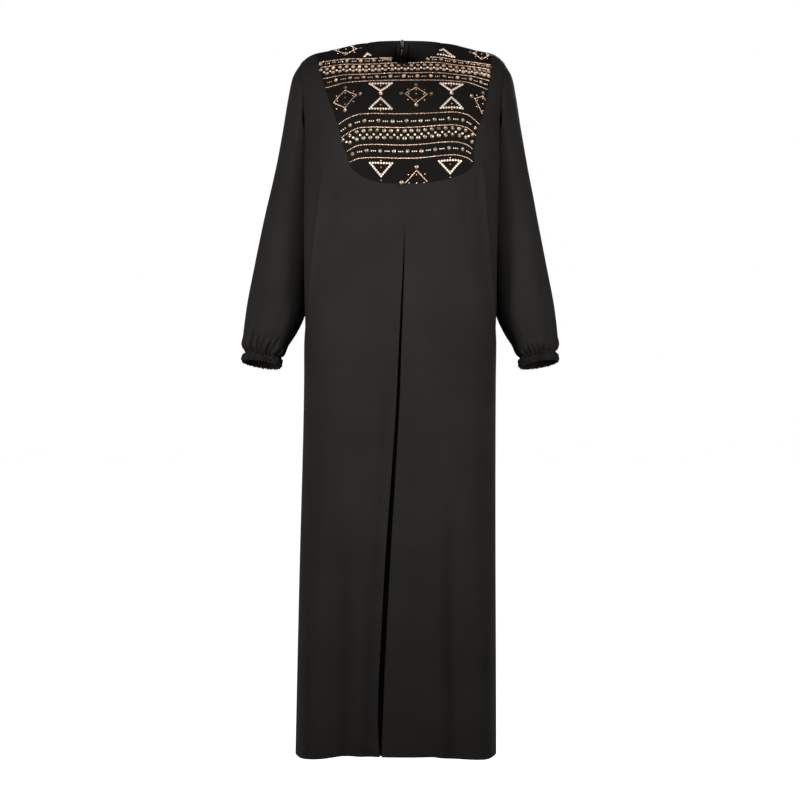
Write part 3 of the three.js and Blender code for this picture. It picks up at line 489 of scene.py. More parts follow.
# ---- Materials ----
class Look:
    """A material in the making: its node tree, its shader's inputs and the object's own coordinates."""

    def __init__(self, name, **inputs):
        self.material = bpy.data.materials.new(name)
        self.material.use_nodes = True
        self.tree = self.material.node_tree
        self.shader = self.tree.nodes["Principled BSDF"].inputs
        self.at = self.tree.nodes.new("ShaderNodeTexCoord").outputs["Object"]
        for key, value in inputs.items():
            self.set(self.shader[key.replace("_", " ")], value)

    def set(self, socket, value):
        """Gives an input a constant, or links another node's output to it."""
        if isinstance(value, bpy.types.NodeSocket):
            self.tree.links.new(value, socket)
        else:
            socket.default_value = value

    def node(self, kind, output, **inputs):
        """The output of a new node, with some of its inputs set."""
        node = self.tree.nodes.new("ShaderNode" + kind)
        for key, value in inputs.items():
            self.set(node.inputs[key.replace("_", " ")], value)
        return node.outputs[output]

    def noise(self, scale, detail=3.0, stretch=None):
        """A noise texture's value, stretched by a scale for each axis if given."""
        at = self.node("Mapping", "Vector", Vector=self.at, Scale=stretch) if stretch else self.at
        return self.node("TexNoise", "Fac", Vector=at, Scale=scale, Detail=detail)

    def maths(self, operation, *values):
        """A math node over sockets or numbers."""
        node = self.tree.nodes.new("ShaderNodeMath")
        node.operation = operation
        for socket, value in zip(node.inputs, values):
            self.set(socket, value)
        return node.outputs["Value"]

    def colour(self, value, *stops):
        """Colours the shader by a ramp over a value: each of the two stops is (place, colour)."""
        node = self.tree.nodes.new("ShaderNodeValToRGB")
        for element, (at, colour) in zip(node.color_ramp.elements, stops):
            element.position = at
            element.color = (*colour, 1)
        self.set(node.inputs["Fac"], value)
        self.set(self.shader["Base Color"], node.outputs["Color"])

    def roughness(self, value, low, high):
        """Spreads a value from 0 to 1 over a range of roughness."""
        self.set(self.shader["Roughness"], self.node("MapRange", "Result", Value=value, To_Min=low, To_Max=high))

    def bump(self, height, distance, strength):
        """Raises the shader's normal by a height."""
        raised = self.node("Bump", "Normal", Height=height, Distance=distance, Strength=strength)
        self.set(self.shader["Normal"], raised)


def crepe(name, dark, light, roughness):
    """Crepe: a pebbled grain under a millimetre across, over a faint twist of the yarns."""
    look = Look(name, Specular_IOR_Level=0.01)
    grain = look.noise(1500, 2, (1, 1, 0.7))
    yarn = look.noise(2600, 1, (1, 1, 0.16))
    drift = look.noise(9, 2)
    shade = look.maths("ADD", look.maths("MULTIPLY", grain, 0.6), look.maths("MULTIPLY", drift, 0.4))
    look.colour(shade, (0.3, dark), (0.7, light))
    look.roughness(grain, roughness - 0.08, roughness + 0.08)
    look.bump(look.maths("ADD", grain, look.maths("MULTIPLY", yarn, 0.5)), 0.00025, 0.7)
    return look.material


def metallic(name, colour, dark, roughness):
    """Foil of a sequin: each one a little lighter or darker, with fine wear."""
    look = Look(name, Metallic=1.0)
    look.colour(look.noise(260, 1), (0.35, dark), (0.62, colour))
    look.roughness(look.noise(900, 2), roughness - 0.07, roughness + 0.1)
    return look.material


def ribbon(name, dark, light, roughness, rib, sheen):
    """Woven tape or satin: fine ribs across its length."""
    look = Look(name, Roughness=roughness, Specular_IOR_Level=0.05, Sheen_Weight=sheen, Sheen_Roughness=0.3)
    ribs = look.node("TexWave", "Fac", Vector=look.at, Scale=rib, Distortion=0.6)
    ribs.node.bands_direction = "Z"
    look.colour(ribs, (0.0, dark), (1.0, light))
    look.bump(ribs, 0.0002, 0.6)
    return look.material


def nylon():
    """Glossy moulded nylon of the coil."""
    look = Look("zip_nylon", Roughness=0.38, Specular_IOR_Level=0.12)
    look.colour(look.noise(700), (0.3, (0.006, 0.0055, 0.005)), (0.7, (0.012, 0.011, 0.010)))
    return look.material


def lacquered():
    """Dark lacquered metal, worn bright in specks."""
    look = Look("zip_metal", Metallic=0.85)
    worn = look.noise(1800, 4)
    look.colour(worn, (0.45, (0.075, 0.07, 0.07)), (0.72, (0.24, 0.22, 0.22)))
    look.roughness(worn, 0.25, 0.5)
    return look.material


CREPE = crepe("black_crepe", (0.0034, 0.00315, 0.0029), (0.0054, 0.0051, 0.0047), 0.75)
BIB_CREPE = crepe("bib_crepe", (0.0015, 0.0013, 0.0012), (0.0025, 0.0022, 0.0019), 0.8)
COPPER = metallic("sequin_copper", (0.44, 0.300, 0.215), (0.20, 0.130, 0.092), 0.45)
BRONZE = metallic("sequin_bronze", (0.125, 0.093, 0.065), (0.046, 0.034, 0.024), 0.42)
GOLD = metallic("sequin_gold", (0.345, 0.290, 0.238), (0.24, 0.197, 0.160), 0.60)
LABEL_SATIN = ribbon("label_satin", (0.37, 0.29, 0.16), (0.50, 0.40, 0.22), 0.4, 420, 0.2)
ZIP_TAPE = ribbon("zip_tape", (0.0036, 0.0031, 0.0029), (0.0058, 0.0050, 0.0046), 0.8, 380, 0.0)
NYLON = nylon()
METAL = lacquered()

# ---- Front panel: one cloth with its pleat ----
SIDE_COLUMNS = 84
LOW_ROWS = 120
HIGH_ROWS = 84
NOSE_POINTS = 7
UNDER_POINTS = 9
HEM_CROWDING = 1.3  # power that draws the rows together at the hem
PRESSED_RADIUS = 0.0013
PRESSED_TO = -0.36  # the pleat's edges open out to their full radius below here
PRESSED_FADE = 0.16


def skirt_heights():
    """Heights of the rows from the hem to the bottom of the bib, closer together at the hem."""
    return HEM + (BIB_BOTTOM - HEM) * np.linspace(0, 1, LOW_ROWS) ** HEM_CROWDING


def shares_to_edge(count):
    """Shares from 0 to 1, closer together towards 1, where the cloth turns round to the side."""
    t = np.linspace(0, 1, count)
    return t * (1.35 - 0.35 * t)


def fold_radius(z):
    """Outside radius of the pleat's folded edges, pressed flatter where the pleat is stitched shut."""
    return lerp(PRESSED_RADIUS, FOLD_RADIUS, smooth((PRESSED_TO - z) / PRESSED_FADE))


def front_side(side, z):
    """Across of one half of the front at each height, from the pleat's folded edge to the side seam."""
    middle, mouth = PLEAT("at", z), PLEAT("mouth", z)
    edge = side * (middle + side * (mouth / 2 + fold_radius(z)))
    inner = np.sign(edge) * plan_angle(edge, z)
    turned = lerp(inner[:, None], math.pi / 2, shares_to_edge(SIDE_COLUMNS)[None])
    return side * np.sign(turned) * across_at(np.abs(turned), z[:, None])


def pleat_side(side, z):
    """The pleat behind one folded edge: its nose, the layer under the front, the deep fold and half the underlay."""
    middle, mouth, gape = (PLEAT(name, z)[:, None] for name in ("at", "mouth", "open"))
    radius = fold_radius(z)[:, None]
    edge = middle + side * (mouth / 2 + radius)
    turn = np.linspace(0, math.pi, NOSE_POINTS + 1)[None, 1:]
    nose = (edge - side * radius * np.sin(turn), radius * (1 - np.cos(turn)))
    deep = 2 * radius
    under = np.linspace(0, 1, UNDER_POINTS)[None, 1:]
    far = middle + side * PLEAT_HALF
    layer = (lerp(edge, far, under), deep + 0 * edge + 0 * under)
    back_turn = np.linspace(0, math.pi, NOSE_POINTS)[None, 1:]
    round_it = (far + side * radius / 2 * np.sin(back_turn), deep + gape / 2 * (1 - np.cos(back_turn)))
    home = np.linspace(0, 1, UNDER_POINTS)[None, 1:-1]
    underlay = (lerp(far, middle, home), deep + gape + 0 * home)
    across, behind = zip(nose, layer, round_it, underlay)
    return np.concatenate(across, 1), np.concatenate(behind, 1)


def front_panel():
    """The front: rows up from the hem, each across both halves and the pleat, and then rows beside the bib."""
    z = skirt_heights()
    halves = {side: front_side(side, z) for side in (-1, 1)}
    pleats = {side: pleat_side(side, z) for side in (-1, 1)}
    middle = PLEAT("at", z)[:, None]
    depth = (2 * fold_radius(z) + PLEAT("open", z))[:, None]
    across = [halves[-1][:, ::-1], pleats[-1][0], middle, pleats[1][0][:, ::-1], halves[1]]
    flat = np.zeros_like(halves[1])
    behind = [flat, pleats[-1][1], depth, pleats[1][1][:, ::-1], flat]
    low = body_points(FRONT, np.concatenate(across, 1), z[:, None], np.concatenate(behind, 1))
    points = [low.reshape(-1, 3)]
    index = numbers_of(low)
    faces = [grid_faces(index)]
    count = index.size
    share = shares_to_edge(SIDE_COLUMNS)[None]
    step = np.linspace(0, LAST_STEP, HIGH_ROWS)[1:]
    outer_z = upper_height(step)
    last = np.clip(step - LAST_STEP + 1, 0, 1)[:, None]
    for side in (-1, 1):
        seam_across, seam_z = bib_seam(side * step)
        rows_z = lerp(seam_z[:, None], outer_z[:, None], share)
        inner = plan_angle(seam_across, seam_z)[:, None]
        rows_across = across_at(lerp(inner, edge_angle(outer_z)[:, None], share), rows_z)
        ridge = ridge_height(FRONT, rows_across)
        lifted = ridge - lerp(ridge_height(FRONT, np.abs(seam_across))[:, None], SHOULDER_TIP, share)
        high = body_points(FRONT, side * rows_across, np.minimum(rows_z + lifted * last, ridge))
        numbers = numbers_of(high, count)
        count += numbers.size
        if side < 0:
            high, first = high[:, ::-1], index[-1:, :SIDE_COLUMNS]
        else:
            first = index[-1:, -SIDE_COLUMNS:]
        points.append(high.reshape(-1, 3))
        faces.append(grid_faces(np.concatenate([first, numbers])))
    points, faces = np.concatenate(points), np.concatenate(faces)
    piece = sew("front_cloth", points, faces, CREPE, CLOTH, "crepe", "front")


# ---- Bib ----
BIB_ROWS = 260
BIB_COLUMNS = 71
SEAM_ALLOWANCE = 0.005
ALLOWANCE_GAP = 0.0006  # behind the cloth that it is sewn to
SEAM_STEP = 0.05  # either side of a place on the seam, for the seam's direction there
SEAM_INSET = SEAM * 0.2
CORNER_POWER = 10


def bib_points(step, share):
    """The bib by step round its seam and share of the way in to the neck edge; a share below 0 is its allowance."""
    seam = bib_seam(step)
    after = bib_seam(np.minimum(step + SEAM_STEP, LAST_STEP))
    before = bib_seam(np.maximum(step - SEAM_STEP, -LAST_STEP))
    run = np.hypot(after[0] - before[0], after[1] - before[1])
    inset = np.where(share < 0, SEAM_INSET - SEAM_ALLOWANCE, SEAM_INSET)
    outer_across = seam[0] - inset * (after[1] - before[1]) / run
    outer_z = np.minimum(seam[1] + inset * (after[0] - before[0]) / run, BIB_TOP)
    behind = np.where(share < 0, CLOTH + ALLOWANCE_GAP, 0)
    share = np.maximum(share, 0)
    neck_across, neck_z = neck_edge(step / LAST_STEP)
    across = lerp(outer_across, neck_across, share)
    straight = lerp(BIB_TOP, NECK_TOP, share)
    bulge = (ridge_height(FRONT, across) - straight) * np.abs(step / LAST_STEP) ** CORNER_POWER
    z = np.minimum(lerp(outer_z, neck_z, share) + bulge, ridge_height(FRONT, across))
    return body_points(FRONT, across, z, behind)


def bib_panel():
    """The bib, from its U seam in to the neck."""
    step = np.linspace(-LAST_STEP, LAST_STEP, BIB_ROWS)[:, None]
    share = np.concatenate([[-1], np.linspace(0, 1, BIB_COLUMNS - 1)])[None]
    points = bib_points(step + 0 * share, share + 0 * step)
    faces = grid_faces(numbers_of(points))[:, ::-1]
    piece = sew("bib_cloth", points, faces, BIB_CREPE, CLOTH, "bib_cloth", "bib")


# ---- Back ----
TOP_EDGE = Table(
    "column across",
    (0, 0),
    (10 / 90, 0.022),
    (20 / 90, 0.042),
    (30 / 90, 0.06),
    (40 / 90, NECK_HALF),
    (50 / 90, 0.092),
    (58 / 90, 0.11),
    (66 / 90, 0.128),
    (73 / 90, 0.146),
    (79 / 90, 0.164),
    (84 / 90, 0.18),
    (87.5 / 90, 0.195),
    (1, SHOULDER_HALF),
)
ZIP_END = -0.58
ZIP_END_FADE = 0.02
CLOSED_SEAM = 0.00004
ZIP_NOTCH = 0.0034
ZIP_NOTCH_HEIGHT = 0.009


def back_slit(z):
    """Half the space between the back edges: none below the zip, wider at the top where the slider stands."""
    shut = lerp(CLOSED_SEAM, SEAM / 2, smooth((z - ZIP_END) / ZIP_END_FADE))
    return shut + ZIP_NOTCH * smooth((z - (NECK_TOP + NAPE_LIFT - ZIP_NOTCH_HEIGHT)) / ZIP_NOTCH_HEIGHT)


def back_panel(side, name, node):
    """Half the back, from the zip to the side seam and sleeve seam."""
    column = shares_to_edge(SIDE_COLUMNS)[None]
    low_z = skirt_heights()[:-1, None] + 0 * column
    low = across_at(column * math.pi / 2, low_z)
    step = np.linspace(0, LAST_STEP, HIGH_ROWS)[:, None]
    up = step / LAST_STEP
    outer_z = upper_height(step)
    outer_up = (outer_z - BIB_BOTTOM) / (SHOULDER_TIP - BIB_BOTTOM)
    above = TOP_EDGE("across", column)
    high_z = lerp(BIB_BOTTOM, back_top(above), lerp(up, outer_up, column**2))
    top_share = plan_angle(above, SHOULDER_TIP) / plan_angle(SHOULDER_HALF, SHOULDER_TIP)
    turned = edge_angle(outer_z) * lerp(column, top_share, up**2)
    high = lerp(across_at(turned, high_z), above + 0 * up, smooth(step - LAST_STEP + 1))
    z = np.concatenate([low_z, high_z])
    across = np.maximum(np.concatenate([low, high]), back_slit(z))
    points = body_points(BACK, side * across, z)
    faces = grid_faces(numbers_of(points))
    if side > 0:
        faces = faces[:, ::-1]
    piece = sew(name, points, faces, CREPE, CLOTH, "crepe", node)


# ---- Sleeves and cuffs ----
SLEEVE = Table(
    "ring out_x out_z in_x in_z depth y lift",
    (0, 0.207, -0.04, 0.168, -0.222, 0.075, 0, 0),
    (1, 0.2245, -0.07, 0.1698, -0.228, 0.076, 0, 0),
    (2, 0.234, -0.115, 0.1706, -0.24, 0.073, 0.001, 0),
    (3, 0.244, -0.177, 0.1714, -0.262, 0.069, 0.003, 0),
    (4, 0.257, -0.25, 0.1724, -0.3, 0.065, 0.004, 0),
    (5, 0.276, -0.34, 0.175, -0.368, 0.062, 0.003, 0),
    (6, 0.297, -0.445, 0.182, -0.458, 0.061, 0, 0.02),
    (7, 0.315, -0.54, 0.193, -0.548, 0.058, -0.004, 0.08),
    (8, 0.321, -0.588, 0.211, -0.592, 0.052, -0.007, 0.13),
    (9, 0.323, -0.611, 0.227, -0.617, 0.044, -0.009, 0.17),
    (10, 0.32, -0.625, 0.239, -0.635, 0.036, -0.01, 0.2),
    (11, 0.318, -0.633, 0.244, -0.645, 0.032, -0.01, 0.22),
)
LAST_RING = 11
FINE_RING = 8  # the rings come closer together from here to the wrist
HEAD_GAP = 2.5 * SEAM
SLEEVE_TURNED = 0.0055  # its allowance at the armhole: inwards, and towards the body
SLEEVE_ASIDE = 0.0032
CUFF = Table(
    "drop full ruche",
    (0, 0.0004, 0.002),
    (0.006, 0.003, 0.0028),
    (0.014, 0.0034, 0.0028),
    (0.02, 0.001, 0.0018),
)
CUFF_AXIS = unit(np.array([0.16, -0.14, -1]))
CUFF_ROWS = 22
RUCHE_POINTS = 9
CUFF_TURNED = 0.0028  # its allowance: inwards, and up into the sleeve
CUFF_UP = 0.003
CUFF_TOP = 0.007  # the casing takes on the gathers over this height


def armhole_points(share):
    """The sleeve seam, from the shoulder tip down the front and up the back."""
    z = armhole_height(np.where(share <= 0.5, share * 2, 2 - share * 2))
    half = BODY("half", z)
    front, back = body_points(FRONT, half, z), body_points(BACK, half, z)
    return np.where((share <= 0.5)[..., None], front, back)


def tube_points(ring, share):
    """The sleeve as a plain tube: an ellipse across the line from its outermost to its innermost point."""
    angle = 2 * math.pi * share
    out = (1 + np.cos(angle)) / 2
    forward = np.sin(angle) * SLEEVE("depth", ring)
    x = lerp(SLEEVE("in_x", ring), SLEEVE("out_x", ring), out)
    z = lerp(SLEEVE("in_z", ring), SLEEVE("out_z", ring), out) + SLEEVE("lift", ring) * forward
    return np.stack([x, SLEEVE("y", ring) - forward, z], -1)


def sleeve_points(ring, share):
    """The tube once its head has taken up the armhole's shape, on the wearer's left."""
    ring, share = np.broadcast_arrays(np.asarray(ring, float), np.asarray(share, float))
    points = tube_points(ring, share)
    root = armhole_points(share)
    root[..., 0] -= BODY("lean", root[..., 2])
    hold = np.clip(1 - ring / ROOT_RINGS, 0, 1) ** 2
    return points + hold[..., None] * (root - tube_points(0 * ring, share))


def outward_of(points, ring, share):
    """Unit vectors away from the middle of each ring."""
    return unit(points - (sleeve_points(ring, 0 * share) + sleeve_points(ring, 0 * share + 0.5)) / 2)


def on_side(side, points):
    """Turns points worked out for the wearer's left to their own side, with the body's lean."""
    turned = points.copy()
    turned[..., 0] = side * points[..., 0] + BODY("lean", points[..., 2])
    return turned


TROUGHS = 21
TROUGH_STRAY = 0.28  # from even spacing, as a share of it
TROUGH_DEPTHS = (0.009, 0.015)
TROUGH_LENGTHS = [0.016, 0.020, 0.025, 0.033, 0.046]
LENGTH_SPREAD = (0.85, 1.15)
TROUGH_LEAN = 0.022  # share of the way round
TROUGH_WIDTHS = (0.02, 0.006)  # shares of the way round: at the wrist, and at the far tip
FULLNESS = 0.0044
FULL_FROM, FULL_TO, FULL_FADE = 0.004, 0.034, 0.026  # distances from the wrist
STITCHED, STITCHED_FADE = 0.42, 0.003  # share of the gathers that is left at the cuff's seam


def gathers(share, distance, side):
    """Gathers at the wrist: pointed troughs, uneven in place, depth, lean and length, with the cloth full between."""
    picks = np.random.default_rng(7 + side)
    at = (np.arange(TROUGHS) + picks.uniform(-TROUGH_STRAY, TROUGH_STRAY, TROUGHS)) / TROUGHS
    depth = picks.uniform(*TROUGH_DEPTHS, TROUGHS)
    length = picks.choice(TROUGH_LENGTHS, TROUGHS) * picks.uniform(*LENGTH_SPREAD, TROUGHS)
    lean = picks.uniform(-TROUGH_LEAN, TROUGH_LEAN, TROUGHS)
    full = FULLNESS * smooth(distance / FULL_FROM) * smooth((FULL_TO - distance) / FULL_FADE)
    for middle, deep, long, leaning in zip(at, depth, length, lean):
        along = np.clip(distance / long, 0, 1)
        away = (share - middle - leaning * along + 0.5) % 1 - 0.5
        full = full - deep * (1 - along) ** 0.9 * np.exp(-((away / lerp(*TROUGH_WIDTHS, along)) ** 2))
    return full * lerp(STITCHED, 1.0, smooth(distance / STITCHED_FADE))


def seam_allowance(points, inwards, aside):
    """One more row before the first ring of a tube: the edge turned in towards the ring's middle, and aside."""
    ring = points[:1]
    return np.concatenate([ring + inwards * unit(ring.mean(1, keepdims=True) - ring) + np.array(aside), points])


def tube_faces(side, points):
    """Quads round a tube, facing out on either side."""
    faces = grid_faces(numbers_of(points), closed=True)
    return faces[:, ::-1] if side < 0 else faces


# Long soft folds of a sleeve: place round it (0 outermost, 0.25 in front), its drift, first and last ring, width
# round it and height.
SLEEVE_FOLDS = (
    (0.06, 0.02, 2.2, 9.2, 0.034, 0.0012),
    (0.13, 0.03, 5.6, 10.2, 0.03, -0.0016),
    (0.21, 0.01, 6.2, 10.4, 0.028, 0.0012),
    (0.3, -0.02, 6, 10.4, 0.026, -0.0012),
    (0.36, 0.01, 1.4, 6.2, 0.03, 0.001),
    (0.58, 0.02, 2, 7, 0.032, -0.0014),
    (0.67, -0.01, 5.2, 10.3, 0.028, 0.0014),
    (0.76, 0.02, 6, 10.4, 0.026, -0.0014),
    (0.86, 0.01, 3.8, 10, 0.032, 0.0014),
    (0.94, -0.02, 6.2, 10.4, 0.026, -0.0012),
)


def sleeve(side, name, node):
    """A sleeve, set into the armhole and gathered to the wrist."""
    coarse, fine = np.linspace(0, FINE_RING, 80)[:-1], np.linspace(FINE_RING, LAST_RING, 44)
    rings = np.concatenate([coarse, fine])[:, None]
    share = (np.arange(SLEEVE_ROUND) / SLEEVE_ROUND)[None]
    points = sleeve_points(rings, share)
    points[:1] += SEAM * unit(sleeve_points(rings[:1] + 1, share) - points[:1])
    points[:1, :, 0] += HEAD_GAP
    out = outward_of(points, rings, share)
    to_wrist = np.linalg.norm(points - sleeve_points(LAST_RING, share), axis=-1)
    depth = gathers(share + 0 * rings, to_wrist, side)
    for around, drift, first, last, width, rise in SLEEVE_FOLDS:
        along = (rings - first) / (last - first)
        away = (share - around - drift * along + side * 0.012 + 0.5) % 1 - 0.5
        fade = smooth(along * 4) * smooth((1 - along) * 4)
        depth = depth + rise * fade * np.exp(-((away / width) ** 2))
    points = on_side(side, points + out * depth[..., None])
    points = seam_allowance(points, SLEEVE_TURNED, (-SLEEVE_ASIDE * side, 0, 0))
    faces = tube_faces(side, points)
    piece = sew(name, points, faces, CREPE, GATHERED_CLOTH, "crepe", node)


def cuff(side, name, node):
    """The elastic casing: a narrow band, ruched round unevenly by the elastic in it."""
    count = RUCHES * RUCHE_POINTS
    down = np.linspace(0, 1, CUFF_ROWS)[:, None]
    drop = CUFF.key[-1] * down
    share = (np.arange(count) / count)[None]
    rings = LAST_RING + 0 * drop
    points = sleeve_points(rings, share + 0 * drop)
    out = outward_of(points, rings, share + 0 * drop)
    picks = np.random.default_rng(17 + side)
    number = np.floor(share * RUCHES + 0.5).astype(int) % RUCHES
    strength = picks.uniform(0.35, 1.15, RUCHES)[number]
    wander = picks.uniform(-0.45, 0.45, RUCHES)[number] * np.sin(down * math.pi * 1.5)
    wave = np.cos(2 * math.pi * (share * RUCHES + wander))
    cross = np.cos(2 * math.pi * (share * RUCHES * 0.37 + down * 1.3)) * np.sin(down * math.pi)
    pinch = 1 - 0.35 * np.exp(-(((down - 0.5) / 0.12) ** 2))
    depth = CUFF("full", drop) + CUFF("ruche", drop) * (0.85 * strength * wave * pinch + 0.30 * cross)
    depth = depth + gathers(share, 0 * drop, side) * (1 - smooth(drop / CUFF_TOP))
    points = points + out * depth[..., None] + CUFF_AXIS * (drop + SEAM)[..., None]
    points = points + CUFF_AXIS * (0.0010 * strength * wave * down**3)[..., None]
    points = seam_allowance(on_side(side, points), CUFF_TURNED, -CUFF_UP * CUFF_AXIS * (side, 1, 1))
    faces = tube_faces(side, points)
    piece = sew(name, points, faces, CREPE, GATHERED_CLOTH, "crepe", node)


# ---- Bib sequins ----
PATTERN_MIDDLE = 0.0326  # the middle diamond's place across, in the row frame
BAND = 0.090
MOTIF_ZONE = 0.100
BEAD_PITCH = 0.0028
SMALL_PLACES = (0.36, 0.50, 0.64)  # of the small sequins between two large ones
BEND_FROM, BEND = 0.08, 2.2  # the wearer's left of the pattern draws in beyond this place
ROW_REACH = 0.24  # how far a row runs to each side
LAST_MOTIFS = 0.3  # below here the hourglasses are cut short by the bib's edge

# Height on the bib's middle at a distance down the cloth from the first line of the upper band.
PATTERN_DOWN = Table(
    "down z",
    (-0.1, 0.014),
    (-0.05, -0.011),
    (0, -0.0346),
    (0.016, -0.04),
    (0.0285, -0.0468),
    (0.0362, -0.0535),
    (0.0436, -0.0584),
    (0.0503, -0.0622),
    (0.0635, -0.0692),
    (0.0765, -0.0771),
    (0.09, -0.0851),
    (0.1085, -0.0959),
    (0.115, -0.1003),
    (0.14, -0.1142),
    (0.165, -0.1336),
    (0.1715, -0.139),
    (0.19, -0.156),
    (0.28, -0.2464),
    (0.305, -0.271),
    (0.38, -0.346),
)
NECK_MARGIN = 0.002
# How far a row sags below its middle, by place across, for rows at five distances down the cloth.
SAG_ROWS = (-0.03, 0.045, 0.14, 0.235, 0.33)
PATTERN_SAG = Table(
    "x rim upper motifs lower last",
    (-0.19, 0.011, 0.013, 0.042, 0.078, 0.046),
    (-0.16, 0.008, 0.0078, 0.027, 0.056, 0.034),
    (-0.133, 0.0045, 0.0046, 0.018, 0.037, 0.022),
    (-0.107, 0.0025, 0.0024, 0.0065, 0.014, 0.0093),
    (-0.08, 0.0025, 0.0034, 0.0014, 0.0006, 0),
    (-0.053, 0.0025, 0.0027, 0.0002, -0.0008, -0.0016),
    (-0.027, 0.0008, 0.001, 0.0006, 0, -0.0012),
    (0, 0.0002, 0.0002, 0.0005, 0.0008, -0.0004),
    (0.027, 0.0002, 0.0002, 0.0002, -0.0002, 0.0004),
    (0.053, -0.001, -0.0012, 0.0016, -0.0025, -0.001),
    (0.08, 0, -0.0004, 0.0012, -0.0054, -0.0045),
    (0.107, 0.0055, 0.0029, -0.0009, -0.0066, -0.0078),
    (0.133, 0.009, 0.0055, 0.0015, -0.0012, -0.0035),
    (0.16, 0.012, 0.008, 0.0145, 0.025, 0.016),
    (0.19, 0.016, 0.0125, 0.034, 0.06, 0.04),
)


def pattern_sag(x, down):
    """The sag at a place across, between the rows of SAG_ROWS."""
    row = np.interp(down, SAG_ROWS, range(len(SAG_ROWS)))
    columns = enumerate(PATTERN_SAG.columns)
    return sum(np.clip(1 - np.abs(row - number), 0, 1) * PATTERN_SAG(name, x) for number, name in columns)


def on_bib(across_cloth, down):
    """Across and height on the bib for a place on its flat pattern."""
    away = np.abs(across_cloth)
    bend = BEND * np.maximum(away - BEND_FROM, 0) ** 2 * (across_cloth > 0)
    x = PATTERN_MIDDLE + np.sign(across_cloth) * (away - bend)
    z = PATTERN_DOWN("z", down) - pattern_sag(x, down)
    return x - BODY("lean", z), z


def inside_bib(across, z, margin, neck_margin):
    """Whether a place is on the bib, a margin inside its seam and shoulder, and another inside its neck edge."""
    side = np.abs(across - BIB("shift", z))
    low = np.clip((BIB_TURN - z) / (BIB_TURN - BIB_BOTTOM - margin), 0, 1)
    half = (BIB("half", z) - margin) * np.clip(1 - low**BIB_ROUND, 0, 1) ** (1 / BIB_ROUND)
    neck = (across / (NECK_HALF + neck_margin)) ** 2 + ((NECK_TOP - z) / (NECK_DROP + neck_margin)) ** 2
    return (side < half) & (z > BIB_BOTTOM + margin) & (neck > 1) & (z < ridge_height(FRONT, across) - margin)


def line_of(down, pitch, through=0.0):
    """Places along a straight row of the pattern, one of them at a given place across."""
    count = math.ceil(ROW_REACH / pitch)
    u = through + pitch * np.arange(-count, count + 1)
    return np.stack([u, np.full_like(u, down)], 1)


def stroke(points, pitch, closed=False):
    """Places at an even pitch along straight strokes between corners."""
    points = np.array(points + points[:1] if closed else points, float)
    found = []
    for a, b in zip(points[:-1], points[1:]):
        count = max(int(round(np.linalg.norm(b - a) / pitch)), 1)
        found.append(lerp(a, b, (np.arange(count) / count)[:, None]))
    if not closed:
        found.append(points[-1:])
    return np.concatenate(found)


# Rows of large sequins with three small ones between: distance down, pitch and the place of one large sequin.
DOTTED_ROWS = (
    (0.016, 0.0272, -0.0853),
    (0.0765, 0.0272, -0.052),
    (0.206, 0.0282, -0.0194),
    (0.2665, 0.02745, -0.0173),
)
# Double rows of large sequins with a bright row between: the three distances down, pitch and one place.
DOUBLE_ROWS = (
    (0.0362, 0.0434, 0.0503, 0.01313, -0.0225),
    (0.2262, 0.2334, 0.2403, 0.0137, -0.0234),
)
LINES = (0.0, 0.0285, 0.0635, 0.090)
# Motif rows: distance down, the places of the diamonds and those of the hourglasses.
MOTIF_ROWS = (
    (-0.050, (-0.286, -0.143, 0.143, 0.286), ()),
    (0.140, (-0.143, 0.0, 0.143), (-0.0715, 0.0715)),
    (0.330, (0.0008,), (-0.0705, 0.0672)),
)


def chart():
    """The pattern as charted rows and motifs: for each kind of sequin, its places on the flat cloth."""
    kinds = {"bead": [], "copper_small": [], "copper_big": [], "bronze_big": [], "gold_small": [], "gold_round": []}
    for top in (0.0, BAND + MOTIF_ZONE):
        for down in LINES:
            kinds["bead"].append(line_of(top + down, BEAD_PITCH))
    for down, pitch, through in DOTTED_ROWS:
        big, small = ("copper_big", "copper_small") if down < BAND else ("bronze_big", "gold_small")
        kinds[big].append(line_of(down, pitch, through))
        for part in SMALL_PLACES:
            kinds[small].append(line_of(down, pitch, through + pitch * part))
    for above, between, below, pitch, through in DOUBLE_ROWS:
        big = "copper_big" if above < BAND else "bronze_big"
        kinds[big].append(line_of(above, pitch, through))
        kinds[big].append(line_of(below, pitch, through))
        kinds["gold_round"].append(line_of(between, pitch, through + pitch / 2))
    for centre, diamonds, hourglasses in MOTIF_ROWS:
        for u in diamonds:
            add_diamond(kinds, u, centre)
        for u in hourglasses:
            for way in (-1, 1):
                add_triangle(kinds, u, centre, way)
            kind, lift = ("copper_small", 0.0037) if centre > LAST_MOTIFS else ("copper_big", 0)
            kinds[kind].append(np.array([(u, centre - lift)]))
    # beside the neck the edge cuts the motifs short
    add_triangle(kinds, 0.056, -0.056, 1)
    kinds["gold_round"].append(stroke([(-0.1045, -0.013), (-0.0990, -0.027), (-0.0930, -0.018)], 0.0042))
    return {kind: np.concatenate(places) for kind, places in kinds.items()}


def add_diamond(kinds, u, v):
    """A diamond outline with a large sequin off each corner, small ones beside its edges and dots inside."""
    corners = [(u, v - 0.025), (u + 0.0222, v), (u, v + 0.025), (u - 0.0222, v)]
    kinds["bead"].append(stroke(corners, 0.0027, closed=True))
    kinds["bronze_big"].append(np.array([(u - 0.0303, v), (u + 0.0303, v), (u, v - 0.0315), (u, v + 0.0315)]))
    beside = [(u + a * 0.0166, v + b * 0.0165) for a in (-1, 1) for b in (-1, 1)]
    inside = [(u, v), (u - 0.0150, v), (u + 0.0150, v), (u, v - 0.0160), (u, v + 0.0165)]
    kinds["copper_small"].append(np.array(beside + inside))


